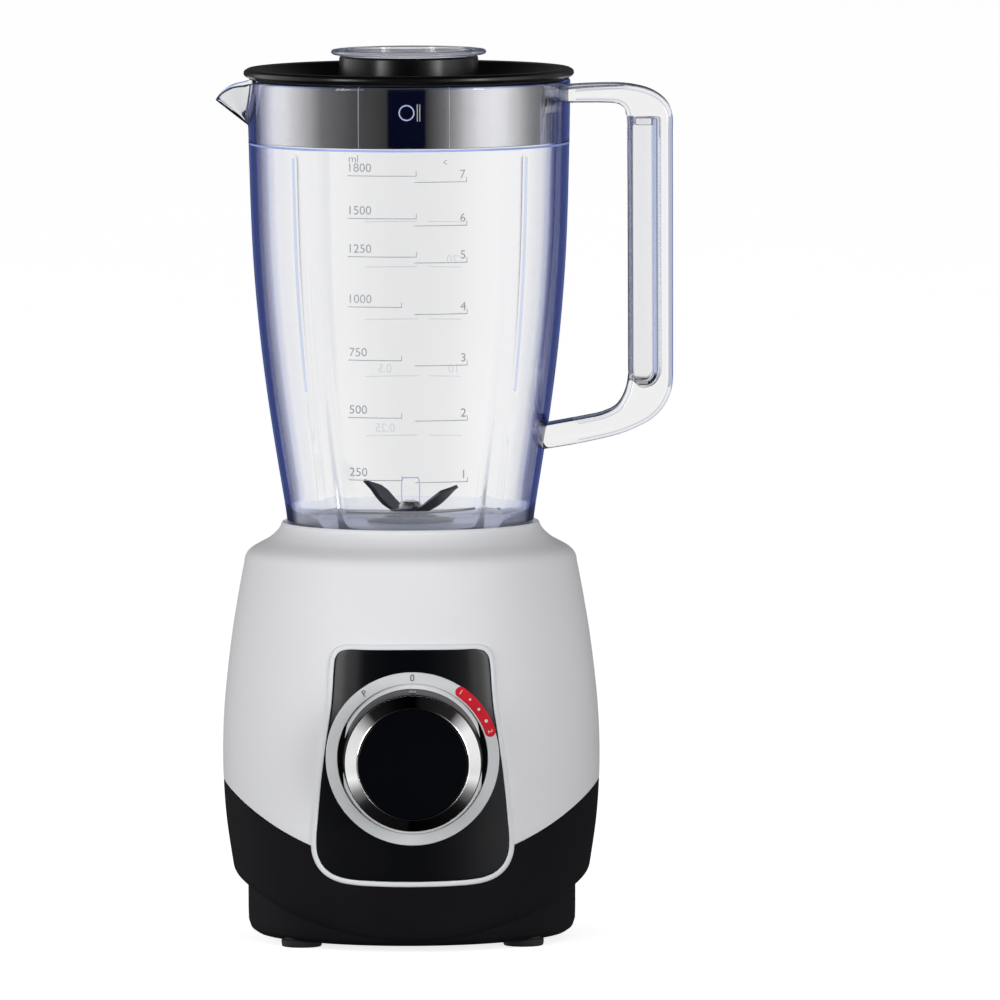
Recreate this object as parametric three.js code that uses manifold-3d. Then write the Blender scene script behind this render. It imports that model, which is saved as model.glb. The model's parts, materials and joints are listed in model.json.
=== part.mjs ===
// Countertop blender: motor base with a rotary speed dial, clear blue-tinted jug with blades, lid and measuring cap.
// Millimetres, +Z up. The origin is the centre of the overall footprint box on the table; the motor axis stands at (AXIS_X, AXIS_Y).
// Everything is modelled about the motor axis first (front of the machine at -Y, handle at +X, spout at -X) and then shifted as one group.
import * as THREE from "three";
import { mergeVertices } from "three/addons/utils/BufferGeometryUtils.js";
import { ConvexGeometry } from "three/addons/geometries/ConvexGeometry.js";
import Module from "manifold-3d";

const wasm = await Module();
wasm.setup();

// ---------------------------------------------------------------- driving dimensions
const AXIS_X = -15.4; // motor axis in the part frame
const AXIS_Y = 12.75;
const GAP = 0.3; // clearance between touching pieces
const SEG = 32; // facets of the large round shells

// base shell, outer radius against height
const BARREL = [
  [0, 72.4], [5.9, 73.6], [15, 75.3], [25, 77.0], [38, 79.0], [46.8, 80.3], [55.6, 81.4], [64.4, 82.1],
  [73.3, 82.7], [86.5, 82.7], [95.3, 82.3], [104.2, 81.8], [113, 81.0], [130.7, 79.0], [148.3, 76.3], [165.5, 73.0],
];
const SHELL = 2.4; // housing wall
const SEAM_Z = 38.4, SEAM_R = 122; // two-tone seam: lowest height at the front, radius of its sweep
const SKIRT_Z = 5.9, SKIRT_R = 155; // lower edge of the dark shell
const SEAM_GAP = 0.4;
const COLLAR_TOP = 183.6, WELL_R = 55.1, DECK_TOP = 150, DECK_T = 2.5;
const PLINTH_R = 71.9, PAN_Z = 3.8, PAN_T = 2.6, PLINTH_TOP = 24;

// control panel outline, half of it, x and z
const PANEL = [
  [28.8, 133.7], [32.2, 132.6], [34.0, 130.0], [34.4, 127.5], [35.3, 108.9], [37.4, 92.6], [39.2, 75.8], [40.6, 57.7],
  [41.0, 50.2], [40.3, 43.5], [38.1, 38.6], [34.6, 35.3], [30.1, 33.4], [24, 32.5], [17.8, 32.2],
];
const FRAME_W = 2.3; // width of the white frame round the panel
const DIAL_Z = 85.9, DIAL_RI = 32.8, DIAL_RO = 37.8; // dial ring
const DIAL_FLOOR_Y = -77; // flat floor of the knob's well
const KNOB_BACK_Y = -77.6, KNOB_R0 = 31.6, KNOB_R1 = 29.6, KNOB_D = 27.3;

// jug
const JUG_OUT = [
  [53.4, 150.4], [53.8, 170], [54.5, 186.7], [58.1, 210.1], [62.3, 236.6],
  [66.8, 276.3], [69.0, 305], [70.4, 352], [70.8, 376.1],
];
const JUG_IN = [
  [24, 176.5], [36, 176.9], [44.5, 179.4], [50.4, 187.2], [54.9, 210.1], [59.1, 236.6],
  [63.6, 276.3], [65.8, 305], [67.0, 349.4], [67.9, 350.1], [68.4, 376.1],
];
const JUG_FLOOR = 176.5, JUG_UNDER = 173, JUG_SKIRT_RI = 50.4;
const HANDLE_OUT = [
  [66, 375.9], [72.6, 375.9], [74, 376.5], [97, 376.0], [105.8, 373.7], [110.0, 370.8], [113.8, 366.5], [115.5, 362.0], [115.5, 247.0],
  [114.5, 240.6], [111.4, 234.3], [106.0, 228.4], [97.9, 224.3], [91.2, 221.8], [79.9, 219.2], [56.5, 215.0],
];
const HANDLE_IN = [
  [58, 226.2], [77.7, 229.5], [84.4, 230.8], [91.2, 234.3], [94.6, 240.6], [95.5, 247.5], [95.5, 360.5], [94.6, 364.8], [92.0, 367.0], [66, 367.9],
];
const HANDLE_HW = 11.7; // half width of the handle

// lid and measuring cap
const LID_BASE = 377.7;

// ---------------------------------------------------------------- helpers
// A closed three.js geometry as a solid.
function solid(geometry) {
  const g = geometry.index ? geometry.toNonIndexed() : geometry.clone();
  const merged = mergeVertices(
    new THREE.BufferGeometry().setAttribute("position", g.getAttribute("position")), 1e-4,
  );
  const source = merged.index.array, tris = [];
  for (let i = 0; i < source.length; i += 3) {
    const [a, b, c] = [source[i], source[i + 1], source[i + 2]];
    if (a !== b && b !== c && a !== c) tris.push(a, b, c);
  }
  const make = (t) => new wasm.Manifold(
    new wasm.Mesh({ numProp: 3, vertProperties: merged.attributes.position.array, triVerts: new Uint32Array(t) }),
  );
  let made = make(tris);
  if (made.volume() < 0) {
    for (let i = 0; i < tris.length; i += 3) [tris[i + 1], tris[i + 2]] = [tris[i + 2], tris[i + 1]];
    made = make(tris);
  }
  return made;
}

function geometryOf(made) {
  const m = made.getMesh();
  const v = new Float32Array(m.numVert * 3);
  for (let i = 0; i < m.numVert; i++) v.set(m.vertProperties.subarray(i * m.numProp, i * m.numProp + 3), i * 3);
  const g = new THREE.BufferGeometry().setAttribute("position", new THREE.BufferAttribute(v, 3));
  g.setIndex(new THREE.BufferAttribute(new Uint32Array(m.triVerts), 1));
  g.computeVertexNormals();
  return g;
}

const lerpTable = (table, z) => {
  if (z <= table[0][0]) return table[0][1];
  for (let i = 1; i < table.length; i++)
    if (z <= table[i][0]) {
      const [z0, r0] = table[i - 1], [z1, r1] = table[i];
      return r0 + ((r1 - r0) * (z - z0)) / (z1 - z0);
    }
  return table[table.length - 1][1];
};
const barrel = (z) => lerpTable(BARREL, z);

// Solid of revolution about Z. The profile is a list of [radius, height]; it closes on itself, or on the axis.
function lathe(profile, seg = SEG) {
  const pts = profile.map(([r, z]) => new THREE.Vector2(r, z));
  const onAxis = profile[0][0] === 0 && profile[profile.length - 1][0] === 0;
  if (!onAxis) pts.push(pts[0].clone());
  return solid(new THREE.LatheGeometry(pts, seg).rotateX(Math.PI / 2));
}
// The same about the Y axis through (x, z): the profile's second number is y.
const latheY = (profile, x, z, seg = 32) =>
  lathe(profile.map(([r, y]) => [r, -y]), seg).rotate([90, 0, 0]).translate([x, 0, z]);

// Shell whose closed profile changes with the angle round the axis: fn(angle) gives n points, angle 0 is the front.
function sweepRound(fn, n, seg = SEG) {
  const dummy = Array.from({ length: n + 1 }, (_, i) => new THREE.Vector2(10 + Math.cos((2 * Math.PI * i) / n), Math.sin((2 * Math.PI * i) / n)));
  const g = new THREE.LatheGeometry(dummy, seg);
  const p = g.getAttribute("position");
  for (let i = 0; i <= seg; i++) {
    const a = i === seg ? 0 : (2 * Math.PI * i) / seg;
    const profile = fn(a);
    for (let j = 0; j <= n; j++) {
      const [r, z] = profile[j % n];
      p.setXYZ(i * (n + 1) + j, r * Math.sin(a), z, r * Math.cos(a));
    }
  }
  return solid(g.rotateX(Math.PI / 2));
}

const cyl = (r, z0, z1, seg = 20, x = 0, y = 0, r2 = r) =>
  solid(new THREE.CylinderGeometry(r2, r, z1 - z0, seg).rotateX(Math.PI / 2).translate(x, y, (z0 + z1) / 2));
const cylY = (r, y0, y1, x, z, seg = 20, r2 = r) =>
  solid(new THREE.CylinderGeometry(r, r2, y1 - y0, seg).translate(x, (y0 + y1) / 2, z));
const cylX = (r, x0, x1, y, z, seg = 16) =>
  solid(new THREE.CylinderGeometry(r, r, x1 - x0, seg).rotateZ(Math.PI / 2).translate((x0 + x1) / 2, y, z));
const box = (x0, x1, y0, y1, z0, z1) =>
  solid(new THREE.BoxGeometry(x1 - x0, y1 - y0, z1 - z0).translate((x0 + x1) / 2, (y0 + y1) / 2, (z0 + z1) / 2));
const shape = (pts) => new THREE.Shape(pts.map(([x, y]) => new THREE.Vector2(x, y)));
// An outline in X and Z, extruded along Y from y0 to y1.
const extrudeY = (pts, y0, y1) =>
  solid(new THREE.ExtrudeGeometry(shape(pts), { depth: y1 - y0, bevelEnabled: false, curveSegments: 8 }).rotateX(Math.PI / 2).translate(0, y1, 0));
// An outline in X and Y, extruded along Z.
const extrudeZ = (pts, z0, z1) =>
  solid(new THREE.ExtrudeGeometry(shape(pts), { depth: z1 - z0, bevelEnabled: false, curveSegments: 8 }).translate(0, 0, z0));
const hull = (pts) => solid(new ConvexGeometry(pts.map(([x, y, z]) => new THREE.Vector3(x, y, z))));
const union = (...s) => s.reduce((a, b) => a.add(b));

const mirrored = (half) => [...half, ...half.map(([x, z]) => [-x, z]).reverse()];
// A closed outline moved outwards by d.
function offset(pts, d) {
  const n = pts.length;
  let area = 0;
  for (let i = 0; i < n; i++) area += pts[i][0] * pts[(i + 1) % n][1] - pts[(i + 1) % n][0] * pts[i][1];
  const s = area > 0 ? 1 : -1;
  return pts.map(([x, y], i) => {
    const [px, py] = pts[(i + n - 1) % n], [nx, ny] = pts[(i + 1) % n];
    const a = new THREE.Vector2(y - py, px - x).normalize().multiplyScalar(s);
    const b = new THREE.Vector2(ny - y, x - nx).normalize().multiplyScalar(s);
    const m = a.clone().add(b).normalize();
    const k = d / Math.max(0.4, m.dot(a));
    return [x + m.x * k, y + m.y * k];
  });
}
const ring = (n, f) => Array.from({ length: n }, (_, i) => f((2 * Math.PI * i) / n, i));

const COLOURS = {
  white: [0xd9dadd, 0.45, 0], black: [0x1b1a1d, 0.5, 0], gloss: [0x0a0b0e, 0.08, 0], chrome: [0xc8cacc, 0.12, 1],
  clear: [0xdfe6ff, 0.05, 0], steel: [0x8a8d92, 0.3, 1], rubber: [0x202022, 0.8, 0], copper: [0xb06a3a, 0.4, 1],
  lamination: [0x6c6e72, 0.5, 1], plastic: [0x30343a, 0.6, 0], board: [0x2f6b3a, 0.6, 0], carbon: [0x2a2a2a, 0.7, 0],
};
const MATERIALS = Object.fromEntries(Object.entries(COLOURS).map(([k, [c, r, m]]) => [
  k, new THREE.MeshStandardMaterial({ name: k, color: c, roughness: r, metalness: m }),
]));
const blender = new THREE.Group();
blender.position.set(AXIS_X, AXIS_Y, 0);
function add(name, made, material) {
  const mesh = new THREE.Mesh(geometryOf(made), MATERIALS[material]);
  mesh.name = name;
  blender.add(mesh);
  return made;
}

// ---------------------------------------------------------------- base shells
// Height of an edge that sweeps up from the front to the sides, on a radius r at angle a.
const sweepZ = (z0, R, r, a) => {
  const x = Math.min(Math.abs(r * Math.sin(a)), R);
  return z0 + R - Math.sqrt(R * R - x * x);
};
const onBarrel = (z0, R, a) => {
  let z = z0;
  for (let i = 0; i < 8; i++) z = sweepZ(z0, R, barrel(z), a);
  return z;
};
const panelOutline = mirrored(PANEL);
const frameOutline = offset(panelOutline, FRAME_W);
const frameCut = offset(panelOutline, FRAME_W + GAP);

// White upper shell: shoulder, collar round the jug, and the well's deck.
const upperFixed = [
  [82.7, 82], [82.2, 98], [79.0, 130.7], [76.3, 148.3], [73.0, 165.5], [72.0, 168.9], [69.3, 172.6],
  [62.7, 176.1], [57.4, 181.2], [56.2, COLLAR_TOP],
  [WELL_R, COLLAR_TOP], [WELL_R, DECK_TOP], [13, DECK_TOP], [13, DECK_TOP - DECK_T], [57.3, DECK_TOP - DECK_T],
  [57.3, 176.6], [66.5, 171.2], [69.6, 167.0], [73.8, 148.3], [76.5, 130.7], [79.8, 98], [80.3, 82],
];
const upperShell = sweepRound((a) => {
  const z = onBarrel(SEAM_Z, SEAM_R, a) + SEAM_GAP / 2;
  const zm = z + (82 - z) * 0.5;
  return [
    [barrel(z), z], [barrel(zm), zm], ...upperFixed, [barrel(zm) - SHELL, zm], [barrel(z) - SHELL, z],
  ];
}, upperFixed.length + 4);
const panelHole = extrudeY(frameCut, -100, -60);
const pinHole = cyl(2.5, DECK_TOP - 5, DECK_TOP + 2, 12, 0, 51.9);
add("upper_housing", upperShell.subtract(panelHole).subtract(pinHole), "white");

// Dark lower shell, with four screw bosses inside.
const BOSSES = [[60, 25], [60, -25], [-60, 25], [-60, -25]];
const lowerShell = sweepRound((a) => {
  const zs = onBarrel(SEAM_Z, SEAM_R, a) - SEAM_GAP / 2;
  const zb = onBarrel(SKIRT_Z, SKIRT_R, a);
  const w = barrel(zb) - 72.7, h = 3.2 * w;
  const out = [];
  out.push([barrel(zs), zs]);
  const top = zb + h;
  out.push([barrel((zs + top) / 2), (zs + top) / 2]);
  for (const t of [1, 0.5, 0.15, 0]) {
    const z = zb + t * h;
    out.push([72.7 + (barrel(z) - 72.7) * Math.sqrt(1 - (1 - t) * (1 - t)) + (t === 0 ? 0.25 : 0), z]);
  }
  const inner = [
    [72.35, zb + 0.3], [Math.max(72.35, barrel(zb + 0.45 * h) - SHELL - 1), zb + 0.45 * h + 1.2],
    [Math.max(72.35, barrel(top) - SHELL), top + 1.2], [barrel((zs + top) / 2) - SHELL, (zs + top) / 2 + 0.6], [barrel(zs) - SHELL, zs],
  ];
  return [...out, ...inner];
}, 11);
const bosses = BOSSES.map(([x, y]) => {
  const a = Math.atan2(y, x), c = Math.cos(a), s = Math.sin(a);
  const web = extrudeZ([[x - 1.5 * s, y + 1.5 * c], [x + 1.5 * s, y - 1.5 * c], [77.4 * c + 1.5 * s, 77.4 * s - 1.5 * c], [77.4 * c - 1.5 * s, 77.4 * s + 1.5 * c]], 37, 47);
  return cyl(4.2, 36, 48, 8, x, y).add(web).subtract(cyl(1.8, 30, 46, 6, x, y));
});
const glandHole = cylY(5.6, 60, 90, 0, 24, 12);
add("lower_housing", union(lowerShell, ...bosses).subtract(extrudeY(frameCut, -100, -60)).subtract(glandHole), "black");

// Plinth pan: side wall, bottom plate with air slots, four screw posts, holes for the feet.
const FEET = [[48.5, -38], [-48.5, -38], [48.5, 38], [-48.5, 38]];
let pan = lathe([
  [0, PAN_Z], [69, PAN_Z], [71.2, PAN_Z + 2.2], [PLINTH_R, PLINTH_TOP], [69.6, PLINTH_TOP],
  [69.0, PAN_Z + PAN_T], [0, PAN_Z + PAN_T],
]);
for (const [x, y] of BOSSES) pan = pan.add(cyl(4.8, PAN_Z + 1, 35.7, 8, x, y));
for (const [x, y] of BOSSES) pan = pan.subtract(cyl(4.2, 0, 8.0, 8, x, y)).subtract(cyl(2.0, 0, 40, 6, x, y));
for (const [x, y] of FEET) pan = pan.subtract(cyl(3.0, 0, 10, 8, x, y));
for (let i = -2; i <= 2; i++) pan = pan.subtract(box(-24 + Math.abs(i) * 4, 24 - Math.abs(i) * 4, i * 9 - 2, i * 9 + 2, 0, 10));
pan = pan.subtract(box(-7, 7, 62, 80, 15, 30)); // clearance for the cord inlet
add("base_pan", pan, "black");

["front_right", "front_left", "rear_right", "rear_left"].forEach((n, i) => {
  const [x, y] = FEET[i];
  add("foot_" + n, lathe([[0, 0], [8.4, 0], [9, 0.8], [9, PAN_Z - GAP], [2.4, PAN_Z - GAP], [2.4, PAN_Z + PAN_T + 0.4], [3.2, PAN_Z + PAN_T + 0.9], [0, PAN_Z + PAN_T + 3]], 12).translate([x, y, 0]), "rubber");
});
const screw = (x, y, z0, z1, rh = 3.6, hh = 2.4, rs = 1.4) =>
  lathe([[0, z0 + 1.1], [1.1, z0], [rh - 0.5, z0], [rh, z0 + 0.7], [rh, z0 + hh], [rs, z0 + hh], [rs, z1 - 1], [0, z1]], 8).translate([x, y, 0]);
["rear_right", "front_right", "rear_left", "front_left"].forEach((n, i) => add("base_screw_" + n, screw(...BOSSES[i], 5.3, 45, 3.6, 2.4, 1.2), "steel"));

// ---------------------------------------------------------------- control panel
// The slice of the barrel's skin between two offsets, in front of the machine.
const skin = (o) => lathe([[0, 24], ...[24, 38, 55.6, 73.3, 86.5, 113, 139.5].map((z) => [barrel(z) + o, z]), [0, 139.5]], 40);
const layer = (outline, lo, hi) => extrudeY(outline, -100, -60).intersect(skin(hi)).subtract(skin(lo));
const dialCut = cylY(32.7, -100, DIAL_FLOOR_Y, 0, DIAL_Z, 28);
const well = cylY(34.6, -79.5, DIAL_FLOOR_Y + 2, 0, DIAL_Z, 28);
add("faceplate", layer(panelOutline, -1.6, 0.6).add(well.intersect(skin(0.4))).subtract(dialCut).subtract(cylY(5.6, -90, -60, 0, DIAL_Z, 16)), "gloss");
add("panel_frame", layer(frameOutline, -2.0, 1.0).subtract(extrudeY(offset(panelOutline, GAP), -100, -60)), "white");
const annulus = cylY(DIAL_RO, -100, -60, 0, DIAL_Z, 28).subtract(cylY(DIAL_RI, -101, -59, 0, DIAL_Z, 28));
add("dial_ring", annulus.intersect(skin(1.6)).subtract(skin(0.9)), "white");

// Knob: a hollow moulding, a bevelled bright ring and a flat cap, all turning with the switch shaft.
const d = (v) => KNOB_BACK_Y - v;
add("knob", latheY([
  [0, d(20)], [3.4, d(20)], [3.4, d(4.5)], [6, d(4.5)], [6, d(24.9)], [27.5, d(24.9)], [29.5, d(0.2)], [KNOB_R0, d(0.2)], [KNOB_R1, d(KNOB_D)], [0, d(KNOB_D)],
], 0, DIAL_Z, 28), "gloss");
add("knob_trim_ring", latheY([[29.4, d(27.6)], [29.2, d(28.4)], [24.8, d(30.6)], [24.3, d(30.6)], [24.3, d(27.6)]], 0, DIAL_Z, 28), "chrome");
add("knob_cap", latheY([[0, d(27.6)], [23.8, d(27.6)], [23.8, d(29.8)], [0, d(29.9)]], 0, DIAL_Z, 28), "gloss");
add("switch_shaft", latheY([[0, -61], [3, -61], [3, d(19.2)], [0, d(19.6)]], 0, DIAL_Z, 12), "steel");
add("rotary_switch", box(-15, 15, -74.6, -58, DIAL_Z - 15, DIAL_Z + 15).add(cylY(4.9, -79.2, -74, 0, DIAL_Z, 16)).subtract(cylY(3.4, -90, -60.5, 0, DIAL_Z, 12))
  .add(box(-9, -7, -58.1, -53, DIAL_Z - 8, DIAL_Z - 5)).add(box(7, 9, -58.1, -53, DIAL_Z - 8, DIAL_Z - 5)).add(box(-1, 1, -58.1, -53, DIAL_Z + 5, DIAL_Z + 8)), "plastic");
const hexY = (r, y0, y1) => extrudeY(ring(6, (a) => [r * Math.cos(a), DIAL_Z + r * Math.sin(a)]), y0, y1);
add("switch_nut", hexY(7.6, -79.0, -77.3).subtract(cylY(5.3, -90, -60, 0, DIAL_Z, 16)), "steel");

// ---------------------------------------------------------------- motor
const M0 = 75, M1 = 117; // lamination stack
let stator = box(-39, 39, -39, 39, M0, M1).intersect(cyl(51.5, M0 - 1, M1 + 1, 24));
stator = stator.subtract(cyl(23, M0 - 5, M1 + 5, 24)).subtract(box(23.5, 34, -27, 27, 60, 130)).subtract(box(-34, -23.5, -27, 27, 60, 130)).subtract(box(-34, 34, -8, 8, 60, 130));
const POSTS = [[34, 34], [-34, -34]];
for (const [x, y] of POSTS) stator = stator.subtract(cyl(2.5, 60, 130, 8, x, y));
add("stator_core", stator, "lamination");
const coil = (s) => {
  const outer = extrudeY([[-30, 66], [30, 66], [33, 69], [33, 123], [30, 126], [-30, 126], [-33, 123], [-33, 69]], 19.6, 26.4);
  const inner = box(-24, 24, 10, 40, M0 - 0.5, M1 + 0.5);
  const made = outer.subtract(inner);
  return s > 0 ? made : made.rotate([0, 0, 180]);
};
add("field_coil_rear", coil(1), "copper");
add("field_coil_front", coil(-1), "copper");
add("motor_bracket_upper", union(box(-38.5, 38.5, -8, 8, 132, 136), cyl(12.5, 128, 139, 16), box(34.4, 38.5, -8, 8, M1 + GAP, 134), box(-38.5, -34.4, -8, 8, M1 + GAP, 134)).subtract(cyl(9.6, 120, 136, 16)).subtract(cyl(6, 120, 150, 12)), "steel");
add("motor_bracket_lower", union(box(-38.5, 38.5, -8, 8, 43, 47), box(-7, 7, -36, 36, 43, 47), cyl(12.5, 40, 49, 16), box(34.4, 38.5, -8, 8, 45, M0 - GAP), box(-38.5, -34.4, -8, 8, 45, M0 - GAP)).subtract(cyl(9.6, 43, 60, 16)).subtract(cyl(6, 30, 60, 12)), "steel");
add("bearing_upper", lathe([[4.4, 128.4], [9, 128.4], [9, 135.4], [4.4, 135.4]], 16), "steel");
add("bearing_lower", lathe([[4.4, 43.4], [9, 43.4], [9, 49.4], [4.4, 49.4]], 16), "steel");
POSTS.forEach(([x, y], i) => add("motor_screw_" + ["rear", "front"][i], lathe([[0, 71], [4, 71], [4, 74.6], [2, 74.6], [2, 147.2], [0, 147.2]], 8).translate([x, y, 0]), "steel"));
for (const [n, s] of [["rear", 1], ["front", -1]]) {
  const turn = (m) => (s > 0 ? m : m.rotate([0, 0, 180]));
  add("brush_holder_" + n, turn(box(-6.5, 6.5, 14, 34, 47.3, 64).subtract(box(-4, 4, 10, 31, 55, 62.5))), "plastic");
  add("carbon_brush_" + n, turn(box(-3.6, 3.6, 11.6, 25, 55.3, 62.2)), "carbon");
}

// Rotor: shaft, slotted core with its winding, commutator, fan and the drive coupling.
add("motor_shaft", lathe([[0, 25.6], [4, 25.6], [4, 156.6], [0, 156.6]], 16), "steel");
const slots = ring(6, (a) => a);
const slotBox = (a, ro, w) => box(11, ro, -w, w, M0 - 6, M1 + 6).rotate([0, 0, (a * 180) / Math.PI]);
let core = lathe([[4.4, M0], [22, M0], [22, M1], [4.4, M1]], 18);
for (const a of slots) core = core.subtract(slotBox(a, 24, 2.6));
add("armature_core", core, "lamination");
let winding = lathe([[4.5, 68.5], [17, 68.5], [17, M0 - GAP], [4.5, M0 - GAP]], 12).add(lathe([[4.5, M1 + GAP], [17, M1 + GAP], [16, 124.5], [4.5, 124.5]], 12));
for (const a of slots) winding = winding.add(box(12, 16.6, -2.2, 2.2, 70, 122).rotate([0, 0, (a * 180) / Math.PI]));
add("armature_winding", winding, "copper");
add("commutator", lathe([[4.4, 53], [11.2, 53], [11.2, 65.5], [13, 66.5], [13, 68.2], [4.4, 68.2]], 16), "copper");
let fan = lathe([[4.4, 26.5], [8, 26.5], [8, 36], [33, 36], [33, 37.8], [4.4, 37.8]], 18);
for (const a of ring(9, (b) => b)) fan = fan.add(box(7, 32, -0.8, 0.8, 27.5, 36.5).rotate([0, 0, (a * 180) / Math.PI + 7]));
add("cooling_fan", fan, "plastic");
const star = (ro, ri, n = 6) => ring(n * 4, (a, i) => {
  const r = i % 4 < 2 ? ro : ri;
  const b = a + ((i % 4 === 0 || i % 4 === 2) ? 0.035 : -0.035);
  return [r * Math.cos(b), r * Math.sin(b)];
});
add("drive_coupling", extrudeZ(star(12.6, 9.4), 153.4, 161).add(cyl(9.2, 151.6, 155, 12)).subtract(cyl(4.5, 140, 156.9, 12)), "plastic");
add("shaft_seal", lathe([[4.7, 148], [12.5, 148], [12.5, DECK_TOP + GAP], [13.9, DECK_TOP + GAP], [13.9, DECK_TOP + 1.2], [4.7, DECK_TOP + 1.2]], 16), "rubber");

// ---------------------------------------------------------------- electrics in the base
add("speed_board", box(-26, 26, 52, 53.6, 58, 102).add(box(-18, -4, 53.5, 60, 66, 80)).add(box(4, 18, 53.5, 62, 84, 98)).add(cylY(4, 53.5, 66, 12, 70, 12)), "board");
add("interlock_switch", box(-10, 10, 48, 56, 124, 134), "plastic");
add("interlock_pin", lathe([[0, 134.3], [2, 134.3], [2, 139], [3.4, 139], [3.4, 141], [2, 141], [2, 150.1], [0, 150.1]], 8).translate([0, 51.9, 0]), "plastic");
add("cord_inlet", lathe([[3.6, -70], [6.6, -70], [6.6, -72], [5.1, -72.2], [5.1, -78.7], [8.4, -78.7], [8.0, -81.4], [3.6, -81.4]], 12).rotate([90, 0, 0]).translate([0, 0, 24]), "rubber");

// ---------------------------------------------------------------- jug
const jugOuter = lathe([[0, 150.4], ...JUG_OUT, [0, 376.1]], 36);
const spoutOut = [
  [-68.6, 17.6, 376.1], [-68.6, -17.6, 376.1], [-77.8, 7.8, 375.7], [-77.8, -7.8, 375.7], [-82.0, 3.6, 372.9], [-82.0, -3.6, 372.9],
  [-84.7, 1.4, 369.9], [-84.7, -1.4, 369.9], [-84.5, 1.1, 368.2], [-84.5, -1.1, 368.2], [-71.4, 2.5, 359.3], [-71.4, -2.5, 359.3],
  [-64, 15, 376.1], [-64, -15, 376.1], [-64, 0, 360.5],
];
const spoutMouth = [[-60, 13], [-66, 15], [-77, 5.9], [-81.5, 2.2]];
const spoutIn = [
  ...[376.6, 390].flatMap((z) => spoutMouth.flatMap(([x, w]) => [[x, w, z], [x, -w, z]])),
  [-82.6, 0.8, 369.6], [-82.6, -0.8, 369.6], [-68.2, 1.6, 361.6], [-68.2, -1.6, 361.6], [-60, 0, 363],
];
const handleShape = [...HANDLE_OUT, ...HANDLE_IN];
const handleBody = solid(new THREE.ExtrudeGeometry(shape(handleShape), {
  depth: 2 * (HANDLE_HW - 2), bevelEnabled: true, bevelThickness: 2, bevelSize: 2, bevelOffset: -2, bevelSegments: 1, curveSegments: 4,
}).rotateX(Math.PI / 2).translate(0, HANDLE_HW - 2, 0));
const gripPocket = box(90, 112.9, -9.2, 9.2, 247.5, 361.8);
const jugInner = lathe([[0, JUG_FLOOR], ...JUG_IN, [68.4, 380], [0, 380]], 36);
const ribs = [45, 135, 225, 315].map((deg) => {
  const inner = [[44, 181], [48.2, 197], [52.5, 223], [57.5, 250], [62, 290], [65.0, 349.5]];
  const outer = [[69, 349.5], [67.2, 290], [62.6, 250], [59, 223], [55, 197], [48, 178]];
  return extrudeY([...inner, ...outer], -2.4, 2.4).rotate([0, 0, deg]);
});
let cavity = jugInner;
for (const r of ribs) cavity = cavity.subtract(r);
const jug = union(jugOuter, hull(spoutOut), handleBody).subtract(cavity).subtract(hull(spoutIn))
  .subtract(lathe([[0, 140], [JUG_SKIRT_RI, 140], [JUG_SKIRT_RI, 168], [46, JUG_UNDER], [0, JUG_UNDER]], 32))
  .subtract(cyl(11.5, 160, 190, 20)).subtract(gripPocket);
add("jug", jug, "clear");
add("handle_insert", box(95.8, 98.4, -8.9, 8.9, 247.9, 361.4).add(box(95.8, 112.5, -8.9, 8.9, 357.4, 361.4)), "clear");

// Blade unit in the jug's floor.
add("blade_housing", lathe([
  [7.6, 165], [11, 165], [11, 178.3], [20, 178.3], [20, 179.6], [13.5, 181], [9.6, 184.6], [7.6, 184.6],
], 20), "steel");
add("floor_gasket", lathe([[11.5, 176.8], [19.4, 176.8], [19.4, 178.0], [11.5, 178.0]], 20), "rubber");
add("housing_nut", extrudeZ(ring(6, (a) => [22 * Math.cos(a), 22 * Math.sin(a)]), 166.5, 172.7).subtract(cyl(11.5, 160, 180, 20)), "plastic");
add("spindle_bush_upper", lathe([[4.4, 176], [7.2, 176], [7.2, 184.2], [4.4, 184.2]], 16), "steel");
add("spindle_bush_lower", lathe([[4.4, 165.4], [7.2, 165.4], [7.2, 172.5], [4.4, 172.5]], 16), "steel");
add("blade_spindle", lathe([[0, 161.6], [4, 161.6], [4, 193.4], [0, 193.4]], 16), "steel");
// A stamped blade: flat hub and two wings bent up by tilt degrees.
const blade = (z, t, hub, wing, tilt, turn) => {
  let made = cyl(hub, z, z + t, 12);
  for (const side of [0, 180]) {
    const w = extrudeZ(wing, 0, t).rotate([0, -tilt, 0]).translate([hub - 1.4, 0, z]);
    made = made.add(w.rotate([0, 0, side]));
  }
  return made.subtract(cyl(4.5, z - 5, z + 8, 12)).rotate([0, 0, turn]);
};
const bladeLow = blade(185.2, 1.6, 8.4, [[-0.4, -5], [0.2, 5], [12, 6.2], [23, 2.0], [22, -1.5], [11, -6.8]], 4, 24);
const bladeHigh = blade(187.5, 1.6, 8.8, [[-0.4, -4], [0.2, 4], [10, 4.8], [20, 2.6], [18, -2.6], [9, -4.8]], 30, -49);
add("blade_lower", bladeLow, "steel");
add("blade_upper", bladeHigh, "steel");
add("blade_nut", lathe([[4.5, 189.5], [6.6, 189.5], [6.6, 193], [5, 196], [0, 197.8], [0, 193.8], [4.5, 193.8]], 12), "steel");
add("driven_coupling", lathe([[0, 152.6], [18.4, 152.6], [18.4, 163.5], [16.5, 164.6], [0, 164.6]], 20)
  .subtract(extrudeZ(star(13.4, 10.2), 140, 161.4)).subtract(cyl(4.5, 150, 170, 12)), "plastic");

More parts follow.
